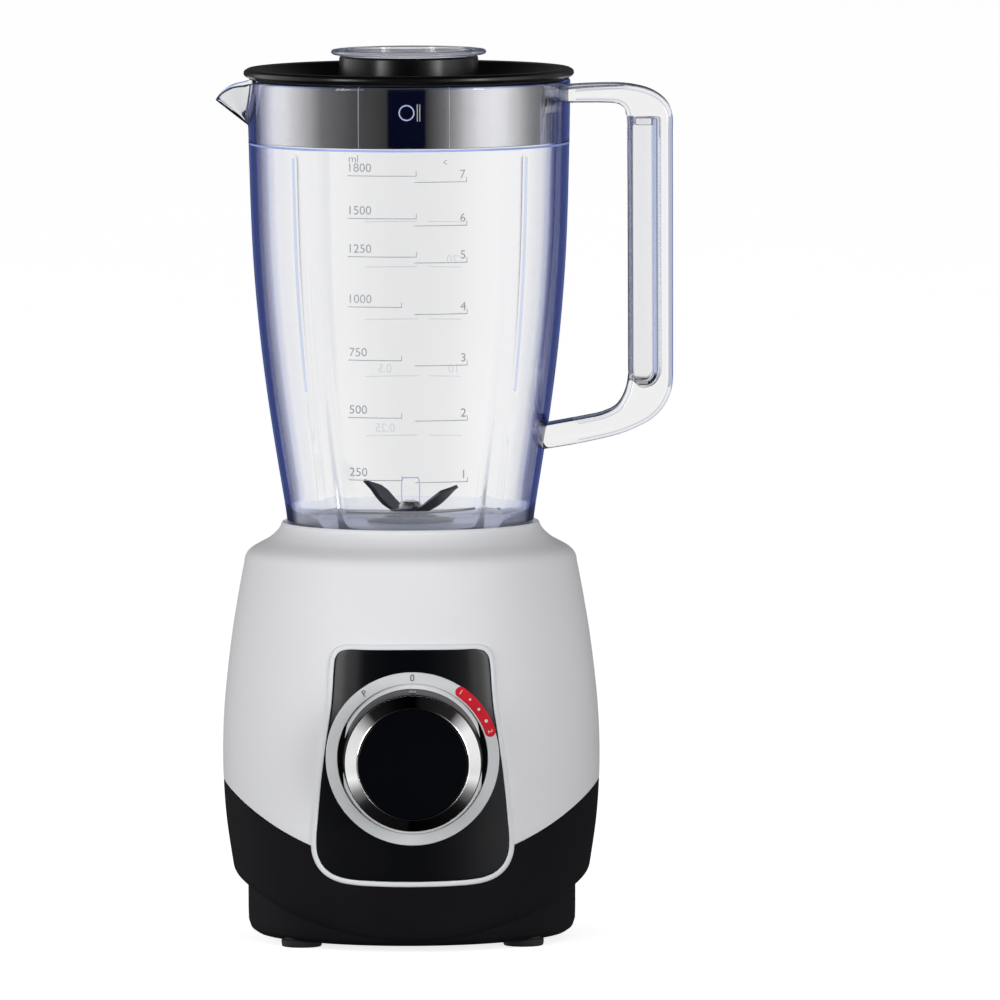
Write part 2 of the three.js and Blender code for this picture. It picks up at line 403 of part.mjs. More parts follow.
// ---------------------------------------------------------------- lid and measuring cap
add("lid", lathe([
  [65.8, 350.8], [65.8, LID_BASE], [71.2, LID_BASE], [72.4, 379.8], [71.2, 382.4], [60.2, 382.5],
  [57.0, 376.2], [30.4, 376.2], [29.9, 389.0], [28.3, 389.0], [28.3, 362], [30.2, 362], [30.2, 373.2], [56, 373.4], [63.6, 376.2], [63.6, 350.8],
]), "black");
add("lid_band", lathe([[66.1, 350.9], [67.0, 350.9], [67.0, 376.0], [66.1, 376.0]]), "chrome");
add("lid_seal", lathe([[66.4, 376.4], [70.4, 376.4], [70.4, 377.4], [66.4, 377.4]]), "rubber");
add("measuring_cap", lathe([
  [0, 364.3], [25.2, 364.3], [27.5, 389.3], [33.4, 389.3], [34.1, 390.3], [33.4, 391.4], [26.4, 391.4], [24.0, 366.5], [0, 366.5],
], 24), "clear");

export default blender;
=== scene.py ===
import json
import math
import bpy
import bmesh
import numpy as np
from mathutils import Vector, Matrix

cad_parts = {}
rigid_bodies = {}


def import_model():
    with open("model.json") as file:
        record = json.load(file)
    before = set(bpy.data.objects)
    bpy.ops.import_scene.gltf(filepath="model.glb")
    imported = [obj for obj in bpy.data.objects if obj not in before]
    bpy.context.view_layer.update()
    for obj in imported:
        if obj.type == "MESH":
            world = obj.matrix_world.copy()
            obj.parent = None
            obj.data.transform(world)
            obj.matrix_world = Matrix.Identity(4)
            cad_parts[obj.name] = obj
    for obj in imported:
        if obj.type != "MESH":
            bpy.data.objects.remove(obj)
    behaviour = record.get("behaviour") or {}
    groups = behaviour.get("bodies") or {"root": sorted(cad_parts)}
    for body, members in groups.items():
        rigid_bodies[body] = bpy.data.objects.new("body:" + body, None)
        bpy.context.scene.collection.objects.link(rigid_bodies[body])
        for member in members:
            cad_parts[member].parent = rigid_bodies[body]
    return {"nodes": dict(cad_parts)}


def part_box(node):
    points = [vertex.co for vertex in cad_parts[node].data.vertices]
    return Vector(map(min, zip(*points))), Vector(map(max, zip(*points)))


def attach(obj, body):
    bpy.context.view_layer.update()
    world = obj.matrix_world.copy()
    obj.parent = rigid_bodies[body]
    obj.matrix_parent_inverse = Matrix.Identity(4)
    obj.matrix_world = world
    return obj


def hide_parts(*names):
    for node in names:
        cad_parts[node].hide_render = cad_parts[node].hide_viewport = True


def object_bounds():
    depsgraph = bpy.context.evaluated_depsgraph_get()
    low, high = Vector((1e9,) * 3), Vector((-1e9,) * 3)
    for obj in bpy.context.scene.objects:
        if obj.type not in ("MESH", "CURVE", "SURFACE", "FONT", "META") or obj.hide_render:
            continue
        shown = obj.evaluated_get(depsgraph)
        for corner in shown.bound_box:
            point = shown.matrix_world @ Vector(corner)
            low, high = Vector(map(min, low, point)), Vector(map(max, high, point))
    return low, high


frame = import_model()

cad_lo, cad_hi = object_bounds()
CAD_BOX = [list(map(float, cad_lo)), list(map(float, cad_hi))]

# ---------------------------------------------------------------- frame
# The motor axis, from the spindle. Lengths below are millimetres from that axis.
_lo, _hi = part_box("blade_spindle")
AX, AY = (_lo.x + _hi.x) / 2, (_lo.y + _hi.y) / 2
_lo, _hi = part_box("switch_shaft")
DIAL_Z = (_lo.z + _hi.z) / 2 * 1000.0
TOP_Z = CAD_BOX[1][2] * 1000.0


def spline(xs, ys):
    """Natural cubic through the knots."""
    xs, ys = np.array(xs, float), np.array(ys, float)
    n = len(xs)
    h = np.diff(xs)
    a = np.zeros((n, n)); b = np.zeros(n)
    a[0, 0] = a[-1, -1] = 1
    for i in range(1, n - 1):
        a[i, i - 1], a[i, i], a[i, i + 1] = h[i - 1], 2 * (h[i - 1] + h[i]), h[i]
        b[i] = 6 * ((ys[i + 1] - ys[i]) / h[i] - (ys[i] - ys[i - 1]) / h[i - 1])
    m = np.linalg.solve(a, b)

    def f(x):
        x = np.asarray(x, float)
        i = np.clip(np.searchsorted(xs, x) - 1, 0, n - 2)
        t0, t1 = xs[i + 1] - x, x - xs[i]
        return (m[i] * t0 ** 3 + m[i + 1] * t1 ** 3) / (6 * h[i]) + (ys[i] / h[i] - m[i] * h[i] / 6) * t0 + (ys[i + 1] / h[i] - m[i + 1] * h[i] / 6) * t1
    return f


def catmull(pts, n=8, closed=False):
    pts = [np.array(p, float) for p in pts]
    out = []
    count = len(pts)
    last = count if closed else count - 1
    for i in range(last):
        p1, p2 = pts[i], pts[(i + 1) % count]
        p0 = pts[(i - 1) % count] if (closed or i > 0) else 2 * p1 - p2
        p3 = pts[(i + 2) % count] if (closed or i + 2 < count) else 2 * p2 - p1
        d0, d1, d2 = (max(1e-6, np.linalg.norm(b - a) ** 0.5) for a, b in ((p0, p1), (p1, p2), (p2, p3)))
        m1 = (p1 - p0) / d0 - (p2 - p0) / (d0 + d1) + (p2 - p1) / d1
        m2 = (p2 - p1) / d1 - (p3 - p1) / (d1 + d2) + (p3 - p2) / d2
        m1, m2 = m1 * d1, m2 * d1
        for k in range(n):
            t = k / n
            out.append((2 * t ** 3 - 3 * t ** 2 + 1) * p1 + (t ** 3 - 2 * t ** 2 + t) * m1 + (-2 * t ** 3 + 3 * t ** 2) * p2 + (t ** 3 - t ** 2) * m2)
    if not closed:
        out.append(pts[-1])
    return [tuple(p) for p in out]


def fillet(points, radius=0.5, seg=5, closed=False, step=None):
    """A polyline with its corners rounded. A point may carry its own radius as a third number."""
    n = len(points)
    out = []
    for i, p in enumerate(points):
        r = p[2] if len(p) > 2 else radius
        b = np.array(p[:2], float)
        if not closed and i in (0, n - 1) or r <= 0:
            out.append(b)
            continue
        a, c = np.array(points[i - 1][:2], float), np.array(points[(i + 1) % n][:2], float)
        u, v = a - b, c - b
        lu, lv = np.linalg.norm(u), np.linalg.norm(v)
        u, v = u / lu, v / lv
        cosang = float(np.clip(u @ v, -1, 1))
        ang = math.acos(cosang)
        if ang > math.radians(176):
            out.append(b)
            continue
        d = min(r / math.tan(ang / 2), 0.48 * lu, 0.48 * lv)
        rr = d * math.tan(ang / 2)
        mid = (u + v) / np.linalg.norm(u + v)
        centre = b + mid * (rr / math.sin(ang / 2))
        s, e = b + u * d - centre, b + v * d - centre
        a0 = math.atan2(s[1], s[0]); a1 = math.atan2(e[1], e[0])
        da = (a1 - a0 + math.pi) % (2 * math.pi) - math.pi
        k = max(2, int(math.ceil(abs(da) / (math.pi / 2) * seg)))
        for j in range(k + 1):
            t = a0 + da * j / k
            out.append(centre + rr * np.array([math.cos(t), math.sin(t)]))
    if step:
        fine = []
        m = len(out)
        for i in range(m if closed else m - 1):
            a, b = out[i], out[(i + 1) % m]
            k = max(1, int(np.linalg.norm(b - a) / step))
            for j in range(k):
                fine.append(a + (b - a) * j / k)
        if not closed:
            fine.append(out[-1])
        out = fine
    return [tuple(p) for p in out]


# ---------------------------------------------------------------- meshes
def build(name, verts, faces, mat, smooth=32, weighted=True, centre=(0.0, 0.0)):
    """A mesh object from millimetre points about the motor axis."""
    mesh = bpy.data.meshes.new(name)
    v = np.array(verts, float) * 0.001
    v[:, 0] += AX + centre[0] * 0.001
    v[:, 1] += AY + centre[1] * 0.001
    mesh.from_pydata(v.tolist(), [], faces)
    mesh.validate()
    bm = bmesh.new()
    bm.from_mesh(mesh)
    bmesh.ops.remove_doubles(bm, verts=bm.verts, dist=1e-7)
    bmesh.ops.recalc_face_normals(bm, faces=bm.faces)
    bm.to_mesh(mesh)
    bm.free()
    mesh.polygons.foreach_set("use_smooth", [True] * len(mesh.polygons))
    mesh.set_sharp_from_angle(angle=math.radians(smooth))
    ob = bpy.data.objects.new(name, mesh)
    bpy.context.scene.collection.objects.link(ob)
    mesh.materials.append(mat)
    if weighted:
        w = ob.modifiers.new("normals", "WEIGHTED_NORMAL")
        w.keep_sharp = True
        w.weight = 60
    return ob


def place(ob, body, nodes=()):
    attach(ob, body)
    if nodes:
        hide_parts(*nodes)
    return ob


def grid_faces(rows, cols, wrap_rows, wrap_cols, start=0):
    faces = []
    for i in range(rows if wrap_rows else rows - 1):
        for j in range(cols if wrap_cols else cols - 1):
            a, b = start + i * cols + j, start + i * cols + (j + 1) % cols
            c, d = start + ((i + 1) % rows) * cols + (j + 1) % cols, start + ((i + 1) % rows) * cols + j
            faces.append((a, b, c, d))
    return faces


def lathe_data(profile, n=160, closed=True, about=(0, 0), wobble=None):
    """Turned about Z. Points at radius 0 become one point each."""
    verts, faces, rings = [], [], []
    for r, z in profile:
        if r < 1e-6:
            rings.append([len(verts)] * n)
            verts.append((about[0], about[1], z))
        else:
            ring = []
            for k in range(n):
                t = 2 * math.pi * k / n
                rr = r if wobble is None else wobble(r, z, t)
                ring.append(len(verts))
                verts.append((about[0] + rr * math.cos(t), about[1] + rr * math.sin(t), z))
            rings.append(ring)
    m = len(rings)
    for i in range(m if closed else m - 1):
        a, b = rings[i], rings[(i + 1) % m]
        for k in range(n):
            k2 = (k + 1) % n
            q = [a[k], a[k2], b[k2], b[k]]
            f = [x for j, x in enumerate(q) if x not in q[:j]]
            if len(f) > 2:
                faces.append(tuple(f))
    return verts, faces


def lathe(name, profile, mat, n=160, closed=True, about=(0, 0), smooth=32, wobble=None):
    v, f = lathe_data(profile, n, closed, about, wobble)
    return build(name, v, f, mat, smooth)


def to_front(verts, z0):
    """A part turned about Z becomes one turned about -Y, centred at height z0: its own z runs towards -Y."""
    return [(x, -z, z0 + y) for x, y, z in verts]


def mirror_faces(faces):
    return [tuple(reversed(f)) for f in faces]


# ---------------------------------------------------------------- materials
def new_mat(name):
    m = bpy.data.materials.new(name)
    m.use_nodes = True
    nt = m.node_tree
    bsdf = next(n for n in nt.nodes if n.type == "BSDF_PRINCIPLED")
    return m, nt, bsdf


def node(nt, kind, **props):
    n = nt.nodes.new(kind)
    for k, v in props.items():
        setattr(n, k, v)
    return n


def ramp(nt, fac, stops, interp="LINEAR"):
    r = node(nt, "ShaderNodeValToRGB")
    r.color_ramp.interpolation = interp
    els = r.color_ramp.elements
    while len(els) > 1:
        els.remove(els[-1])
    els[0].position = stops[0][0]
    els[0].color = stops[0][1]
    for p, c in stops[1:]:
        e = els.new(p)
        e.color = c
    nt.links.new(fac, r.inputs["Fac"])
    return r


def rgb(*c):
    return (c[0], c[1], c[2], 1.0)


def noise(nt, scale, detail=2.0, rough=0.5, stretch=None):
    """Noise from object coordinates, in cells per metre."""
    tc = node(nt, "ShaderNodeTexCoord")
    out = tc.outputs["Object"]
    if stretch:
        mp = node(nt, "ShaderNodeMapping")
        mp.inputs["Scale"].default_value = stretch
        nt.links.new(out, mp.inputs["Vector"])
        out = mp.outputs["Vector"]
    t = node(nt, "ShaderNodeTexNoise")
    t.inputs["Scale"].default_value = scale
    t.inputs["Detail"].default_value = detail
    t.inputs["Roughness"].default_value = rough
    nt.links.new(out, t.inputs["Vector"])
    return t.outputs["Fac"]


def solid(name, dark, light, rough=(0.4, 0.5), metallic=0.0, ior=1.45, grain=900.0, bump=0.05, depth=0.00005, tone=35.0, coat=0.0, stretch=None, spec=None):
    """Two close tones over a slow noise, roughness that varies a little, and a fine grain."""
    m, nt, b = new_mat(name)
    slow = noise(nt, tone, 3.0)
    col = ramp(nt, slow, [(0.3, rgb(*dark)), (0.7, rgb(*light))])
    nt.links.new(col.outputs["Color"], b.inputs["Base Color"])
    fine = noise(nt, grain, 3.0, 0.6, stretch)
    mr = node(nt, "ShaderNodeMapRange")
    mr.inputs["From Min"].default_value = 0.3
    mr.inputs["From Max"].default_value = 0.7
    mr.inputs["To Min"].default_value = rough[0]
    mr.inputs["To Max"].default_value = rough[1]
    nt.links.new(fine, mr.inputs["Value"])
    nt.links.new(mr.outputs["Result"], b.inputs["Roughness"])
    if bump > 0:
        bp = node(nt, "ShaderNodeBump")
        bp.inputs["Strength"].default_value = bump
        bp.inputs["Distance"].default_value = depth
        nt.links.new(fine, bp.inputs["Height"])
        nt.links.new(bp.outputs["Normal"], b.inputs["Normal"])
    b.inputs["Metallic"].default_value = metallic
    b.inputs["IOR"].default_value = ior
    if spec is not None:
        b.inputs["Specular IOR Level"].default_value = spec
    if coat:
        b.inputs["Coat Weight"].default_value = coat
        b.inputs["Coat Roughness"].default_value = 0.05
    return m


def clear(name, stops, rough=0.0, ior=1.47, bump=0.015):
    """Clear plastic: the tint comes with the grazing angle, and the moulded surface waves very slightly."""
    m, nt, b = new_mat(name)
    lw = node(nt, "ShaderNodeLayerWeight")
    lw.inputs["Blend"].default_value = 0.5
    col = ramp(nt, lw.outputs["Facing"], stops, "EASE")
    nt.links.new(col.outputs["Color"], b.inputs["Base Color"])
    b.inputs["Transmission Weight"].default_value = 1.0
    b.inputs["Roughness"].default_value = rough
    b.inputs["IOR"].default_value = ior
    if bump > 0:
        f = noise(nt, 45.0, 1.0)
        bp = node(nt, "ShaderNodeBump")
        bp.inputs["Strength"].default_value = bump
        bp.inputs["Distance"].default_value = 0.002
        nt.links.new(f, bp.inputs["Height"])
        nt.links.new(bp.outputs["Normal"], b.inputs["Normal"])
    return m


WHITE = solid("white_housing", (0.795, 0.797, 0.815), (0.82, 0.822, 0.84), (0.46, 0.54), grain=2600, bump=0.10, depth=0.00006, tone=18, ior=1.46, spec=0.25)
FRAME_WHITE = solid("frame_white", (0.76, 0.775, 0.80), (0.80, 0.815, 0.84), (0.42, 0.50), grain=2000, bump=0.04, tone=40, spec=0.3)
DARK = solid("dark_housing", (0.0078, 0.0070, 0.0084), (0.0102, 0.0092, 0.0108), (0.58, 0.68), grain=2400, bump=0.35, depth=0.00010, tone=25, ior=1.42, spec=0.05)
DIAL = solid("dial_pale", (0.64, 0.66, 0.67), (0.69, 0.71, 0.72), (0.45, 0.55), grain=2600, bump=0.08, tone=60, spec=0.3)
RED = solid("dial_red", (0.60, 0.003, 0.016), (0.68, 0.004, 0.022), (0.40, 0.50), grain=2000, bump=0.03, tone=80, spec=0.2)
INK = solid("dial_ink", (0.010, 0.010, 0.012), (0.020, 0.020, 0.022), (0.45, 0.55), grain=1500, bump=0.02, tone=80)
INK_WHITE = solid("dial_ink_white", (0.72, 0.70, 0.70), (0.80, 0.78, 0.78), (0.45, 0.55), grain=1500, bump=0.02, tone=80)
GLOSS = solid("gloss_black", (0.0020, 0.0023, 0.0034), (0.0028, 0.0031, 0.0044), (0.150, 0.180), grain=300, bump=0.004, tone=12, ior=1.36, spec=0.36)
KNOB_BLACK = solid("knob_black", (0.0030, 0.0030, 0.0034), (0.0050, 0.0050, 0.0056), (0.14, 0.20), grain=1800, bump=0.02, tone=50, ior=1.045)
CAP_BLACK = solid("cap_black", (0.0021, 0.0023, 0.0033), (0.0027, 0.0030, 0.0041), (0.06, 0.09), grain=400, bump=0.004, tone=20, ior=1.33)
CHROME = solid("chrome", (0.90, 0.90, 0.90), (0.94, 0.94, 0.94), (0.05, 0.09), metallic=1.0, grain=700, bump=0.006, tone=60, stretch=(1, 1, 14))
BAND = solid("lid_band_metal", (0.545, 0.545, 0.565), (0.575, 0.575, 0.595), (0.035, 0.060), metallic=1.0, grain=220, bump=0.004, tone=60, stretch=(1, 1, 40))
STEEL = solid("blade_steel", (0.030, 0.035, 0.062), (0.058, 0.066, 0.105), (0.26, 0.38), metallic=1.0, grain=260, bump=0.05, tone=90, stretch=(1, 7, 1))
STEEL2 = solid("plain_steel", (0.46, 0.46, 0.47), (0.58, 0.58, 0.59), (0.22, 0.34), metallic=1.0, grain=500, bump=0.05, tone=70, stretch=(1, 1, 6))
CORE = solid("core_steel", (0.22, 0.22, 0.23), (0.32, 0.32, 0.33), (0.38, 0.55), metallic=1.0, grain=60, bump=0.5, depth=0.0003, tone=40, stretch=(1, 1, 30))
COPPER = solid("copper_wire", (0.48, 0.17, 0.07), (0.66, 0.28, 0.12), (0.28, 0.42), metallic=1.0, grain=240, bump=0.6, depth=0.0004, tone=60, stretch=(1, 1, 6))
BRONZE = solid("bushing_bronze", (0.34, 0.20, 0.08), (0.46, 0.28, 0.12), (0.34, 0.5), metallic=1.0, grain=1200, bump=0.15, tone=80)
RUBBER = solid("rubber", (0.010, 0.010, 0.010), (0.020, 0.020, 0.020), (0.62, 0.78), grain=1500, bump=0.30, depth=0.0001, tone=60, ior=1.4)
LIDM = solid("lid_black", (0.0032, 0.0031, 0.0033), (0.0050, 0.0048, 0.0051), (0.21, 0.27), grain=2200, bump=0.10, depth=0.00006, tone=30, ior=1.47)
PLASTIC = solid("inner_plastic", (0.030, 0.030, 0.034), (0.050, 0.050, 0.055), (0.40, 0.55), grain=1400, bump=0.15, tone=50)
HUBM = solid("blade_collar", (0.030, 0.034, 0.055), (0.050, 0.056, 0.085), (0.22, 0.34), grain=1400, bump=0.05, tone=50)
BOARD = solid("circuit_board", (0.010, 0.075, 0.030), (0.018, 0.120, 0.048), (0.30, 0.45), grain=500, bump=0.20, tone=240)
CARBON = solid("carbon", (0.012, 0.012, 0.013), (0.030, 0.030, 0.032), (0.55, 0.75), grain=1600, bump=0.30, tone=90)
POINTER = solid("knob_pointer_grey", (0.36, 0.36, 0.37), (0.44, 0.44, 0.45), (0.4, 0.5), grain=1500, bump=0.02, tone=80)
MARK = solid("scale_mark", (0.30, 0.31, 0.34), (0.42, 0.43, 0.46), (0.35, 0.5), grain=900, bump=0.05, tone=90)
MARK_FAINT = clear("scale_mark_rear", [(0.0, rgb(0.80, 0.82, 0.86)), (0.6, rgb(0.62, 0.66, 0.78)), (1.0, rgb(0.35, 0.45, 0.80))], rough=0.3, ior=1.30, bump=0.0)

GLASS_STOPS = [(0.0, rgb(0.972, 0.973, 0.977)), (0.34, rgb(0.950, 0.952, 0.960)), (0.49, rgb(0.82, 0.835, 0.89)), (0.59, rgb(0.38, 0.40, 0.58)), (0.655, rgb(0.07, 0.085, 0.26)), (0.71, rgb(0.0010, 0.0026, 0.045)), (0.80, rgb(0.0014, 0.0035, 0.07)), (0.91, rgb(0.008, 0.035, 0.42)), (1.0, rgb(0.02, 0.08, 0.70))]
GLASS = clear("clear_jug", GLASS_STOPS, bump=0.02)
GLASS_EDGE = clear("clear_edge", [(0.0, rgb(0.55, 0.66, 0.97)), (0.35, rgb(0.38, 0.52, 0.95)), (0.60, rgb(0.10, 0.20, 0.80)), (0.80, rgb(0.008, 0.045, 0.60)), (1.0, rgb(0.004, 0.04, 0.75))], bump=0.0)
GLASS_HANDLE = clear("clear_handle", [(0.0, rgb(0.972, 0.973, 0.979)), (0.34, rgb(0.930, 0.932, 0.947)), (0.50, rgb(0.78, 0.79, 0.85)), (0.62, rgb(0.56, 0.58, 0.70)), (0.72, rgb(0.42, 0.45, 0.64)), (0.85, rgb(0.26, 0.31, 0.64)), (1.0, rgb(0.10, 0.18, 0.75))], bump=0.02)
GLASS_FLOOR = clear("clear_floor", [(0.0, rgb(0.84, 0.86, 0.94)), (0.60, rgb(0.74, 0.78, 0.94)), (0.85, rgb(0.50, 0.58, 0.93)), (1.0, rgb(0.22, 0.34, 0.92))], bump=0.03)
GLASS_FLOOR.node_tree.nodes["Principled BSDF"].inputs["Transmission Weight"].default_value = 0.48
# Painted shade: these two darker glass tints draw the dark lines along the rounded sides of the handle, where the clear
# plastic only shows shade through its curve.
GLASS_PAINTED_SHADE_LINE = clear("clear_painted_shade_line", [(0.0, rgb(0.60, 0.61, 0.69)), (0.5, rgb(0.50, 0.52, 0.64)), (1.0, rgb(0.20, 0.28, 0.66))], bump=0.0)
GLASS_PAINTED_DEEP_SHADE = clear("clear_painted_deep_shade", [(0.0, rgb(0.30, 0.31, 0.43)), (0.5, rgb(0.20, 0.22, 0.38)), (1.0, rgb(0.05, 0.10, 0.50))], bump=0.0)
GLASS_MIST = clear("clear_foot", [(0.0, rgb(0.86, 0.88, 0.96)), (0.55, rgb(0.72, 0.77, 0.95)), (0.80, rgb(0.34, 0.45, 0.93)), (1.0, rgb(0.10, 0.22, 0.90))], bump=0.03)
GLASS_MIST.node_tree.nodes["Principled BSDF"].inputs["Transmission Weight"].default_value = 0.80
GLASS_CAP = clear("clear_cap", [(0.0, rgb(0.90, 0.90, 0.94)), (0.45, rgb(0.80, 0.81, 0.89)), (0.64, rgb(0.58, 0.60, 0.77)), (0.85, rgb(0.38, 0.42, 0.70)), (1.0, rgb(0.26, 0.32, 0.72))], bump=0.01)
GLASS_CAP.node_tree.nodes["Principled BSDF"].inputs["Transmission Weight"].default_value = 0.80
GLASS_GRIP = clear("clear_grip", [(0.0, rgb(0.30, 0.315, 0.42)), (0.35, rgb(0.16, 0.175, 0.28)), (0.62, rgb(0.04, 0.05, 0.14)), (0.85, rgb(0.01, 0.02, 0.14)), (1.0, rgb(0.006, 0.03, 0.40))], bump=0.01)
GLASS_BLOCK = clear("clear_block", [(0.0, rgb(0.965, 0.968, 0.98)), (0.40, rgb(0.90, 0.91, 0.95)), (0.62, rgb(0.30, 0.36, 0.70)), (0.85, rgb(0.02, 0.08, 0.60)), (1.0, rgb(0.01, 0.06, 0.80))], bump=0.0)

SLOT_MAT = {
    "white_housing": WHITE, "dark_housing": DARK, "dial_print": DIAL, "gloss_black": GLOSS, "chrome_trim": CHROME,
    "clear_jug": GLASS, "blade_steel": STEEL, "plain_steel": STEEL2, "core_steel": CORE, "copper_wire": COPPER,
    "bushing_bronze": BRONZE, "rubber": RUBBER, "inner_plastic": PLASTIC, "circuit_board": BOARD, "carbon": CARBON,
}

# The CAD solids that stay as they are get a finished material by name.
KEPT = {
    "stator_core": CORE, "armature_core": CORE, "field_coil_front": COPPER, "field_coil_rear": COPPER,
    "armature_winding": COPPER, "commutator": COPPER, "cooling_fan": PLASTIC, "motor_bracket_upper": STEEL2,
    "motor_bracket_lower": STEEL2, "bearing_upper": STEEL2, "bearing_lower": STEEL2, "brush_holder_front": BRONZE,
    "brush_holder_rear": BRONZE, "carbon_brush_front": CARBON, "carbon_brush_rear": CARBON, "motor_shaft": STEEL2,
    "motor_screw_front": STEEL2, "motor_screw_rear": STEEL2, "rotary_switch": PLASTIC, "switch_nut": STEEL2,
    "switch_shaft": PLASTIC, "speed_board": BOARD, "interlock_pin": PLASTIC, "interlock_switch": PLASTIC,
    "base_screw_front_left": STEEL2, "base_screw_front_right": STEEL2, "base_screw_rear_left": STEEL2,
    "base_screw_rear_right": STEEL2, "spindle_bush_upper": BRONZE, "spindle_bush_lower": BRONZE,
}
for name, ob in frame["nodes"].items():
    mat = KEPT.get(name, PLASTIC)
    if ob.data.materials:
        for i in range(len(ob.data.materials)):
            ob.data.materials[i] = mat
    else:
        ob.data.materials.append(mat)

# ---------------------------------------------------------------- barrel
barrel = spline([0, 6, 15, 25, 38, 52, 66, 80, 94, 108, 122, 136, 150, 160, 168],
                [71.8, 73.3, 75.2, 77.0, 79.1, 81.1, 82.25, 82.7, 82.45, 81.55, 80.05, 78.25, 75.95, 74.15, 72.6])
SHOULDER_Z = 163.0


def seam_z(x):
    return 38.4 + 122.3 - math.sqrt(122.3 ** 2 - x * x)


def skirt_z(x):
    return 5.9 + 156.5 - math.sqrt(156.5 ** 2 - x * x)


def solve_edge(fn, theta):
    z = 40.0
    for _ in range(25):
        z = fn(float(barrel(z)) * math.sin(theta))
    return z


def shell_columns(n):
    return [2 * math.pi * k / n for k in range(n)]


def front_xy(r, theta):
    """theta is measured from the front, growing towards +X."""
    return r * math.sin(theta), -r * math.cos(theta)


# White upper shell: outer wall from the seam up, shoulder, collar, the well with its deck, and the inner faces back down.
N_SHELL = 288
shoulder = catmull([(float(barrel(163.0)), 163.0), (73.05, 165.5), (72.85, 167.2), (72.3, 169.0), (71.1, 170.8), (69.2, 172.35), (65.9, 174.2), (62.4, 176.1), (59.9, 178.1), (58.0, 180.1), (56.8, 182.0)], 4)
well = fillet([(56.9, 182.2), (56.25, 183.55, 0.5), (55.1, 183.55, 0.5), (55.1, 150.0, 1.0), (13.1, 150.0, 0.4), (13.1, 147.6, 0.3), (57.0, 147.6, 0.8), (57.2, 177.5, 1.5), (66.5, 172.2, 3.0), (70.6, 168.2, 3.0), (float(barrel(160)) - 2.3, 160.0)], 0.5, 5, step=6.0)
verts, cols = [], []
for th in shell_columns(N_SHELL):
    zs = solve_edge(seam_z, th)
    col = []
    rr = float(barrel(zs))
    col += [(rr - 0.42, zs + 0.14), (rr - 0.13, zs + 0.22), (float(barrel(zs + 0.5)), zs + 0.5)]
    rows = 44
    for i in range(1, rows):
        z = zs + 0.5 + (SHOULDER_Z - zs - 0.5) * i / rows
        col.append((float(barrel(z)), z))
    col += shoulder + well
    for i in range(1, 13):
        z = 160.0 + (zs + 0.14 - 160.0) * i / 12
        col.append((float(barrel(z)) - 2.3, z))
    cols.append([(*front_xy(r, th), z) for r, z in col])
rows_n = len(cols[0])
verts = [cols[j][i] for i in range(rows_n) for j in range(N_SHELL)]
upper = build("upper_shell", verts, grid_faces(rows_n, N_SHELL, True, True), WHITE, 30)
place(upper, "base", ["upper_housing"])

# Dark lower shell: its rolled bottom edge follows the same kind of curve and hides the plinth's top.
cols = []
for th in shell_columns(N_SHELL):
    zs, zb = solve_edge(seam_z, th), solve_edge(skirt_z, th)
    rr = float(barrel(zs))
    col = [(rr - 2.3, zs - 0.14), (rr - 0.42, zs - 0.14), (rr - 0.13, zs - 0.22), (float(barrel(zs - 0.5)), zs - 0.5)]
    top, low = zs - 0.5, zb + 6.6
    for i in range(1, 13):
        z = top + (low - top) * i / 12
        col.append((float(barrel(z)), z))
    w = float(barrel(zb)) - 72.25
    CURL = 6.6
    for i in range(1, 13):
        t = math.pi / 2 * i / 12
        z = zb + 6.6 * (1 - math.sin(t))
        col.append((float(barrel(z)) - w * (1 - math.cos(t)), z))
    col += [(72.2, zb - 0.05), (72.05, zb + 0.15), (72.0, zb + 1.0)]
    for i in range(1, 9):
        z = zb + 3.0 + (zs - 3.0 - zb - 0.14) * i / 8
        col.append((max(72.0 - 2.0 * (i < 2), float(barrel(z)) - 2.3 - max(0.0, 3.0 - i) * 0.8), z))
    cols.append([(*front_xy(r, th), z) for r, z in col[:-1]])
rows_n = len(cols[0])
verts = [cols[j][i] for i in range(rows_n) for j in range(N_SHELL)]
lower = build("lower_shell", verts, grid_faces(rows_n, N_SHELL, True, True), DARK, 30)
place(lower, "base", ["lower_housing"])

# Plinth with its bottom plate: rounded lower edge, a shallow shadow groove, and air slots in the bottom.
plinth = fillet([(71.9, 34.0, 0.5), (71.85, 14.0, 0), (71.7, 8.6, 2.5), (70.5, 5.0, 3.0), (67.4, 2.9, 2.5), (63.0, 2.3, 1.0), (61.0, 2.3, 0.4), (60.6, 3.1, 0.3), (59.0, 3.1, 0.3), (58.6, 2.3, 0.4), (0, 2.3, 0), (0, 6.3, 0), (69.4, 6.9, 1.0), (69.6, 34.0, 0.5)], 0.5, 6, step=5.0)
pl = lathe("plinth", plinth, DARK, 240)
place(pl, "base", ["base_pan"])
slots_v, slots_f = [], []
for k in range(28):
    a = 2 * math.pi * k / 28
    for j, rad in enumerate((22.0, 34.0)):
        if j == 0 and k % 2:
            continue
        half_w, r0, r1 = 1.1, rad, rad + 9.0
        out = fillet([(r0, -half_w), (r1, -half_w), (r1, half_w), (r0, half_w)], 0.9, 4, closed=True)
        base = len(slots_v)
        m = len(out)
        for z in (2.31, 2.12, 1.98):
            s = 0.0 if z > 2.2 else (0.12 if z > 2.0 else 0.35)
            for (x, y) in out:
                cx = (r0 + r1) / 2
                x2, y2 = cx + (x - cx) * (1 - s * 0.1), y * (1 - s * 0.3)
                slots_v.append((x2 * math.cos(a) - y2 * math.sin(a), x2 * math.sin(a) + y2 * math.cos(a), z))
        slots_f += grid_faces(3, m, False, True, base)
        slots_f += [tuple(range(base, base + m)), tuple(range(base + 2 * m, base + 3 * m))]
ribs = build("plinth_air_bars", slots_v, slots_f, DARK, 30)
place(ribs, "base")

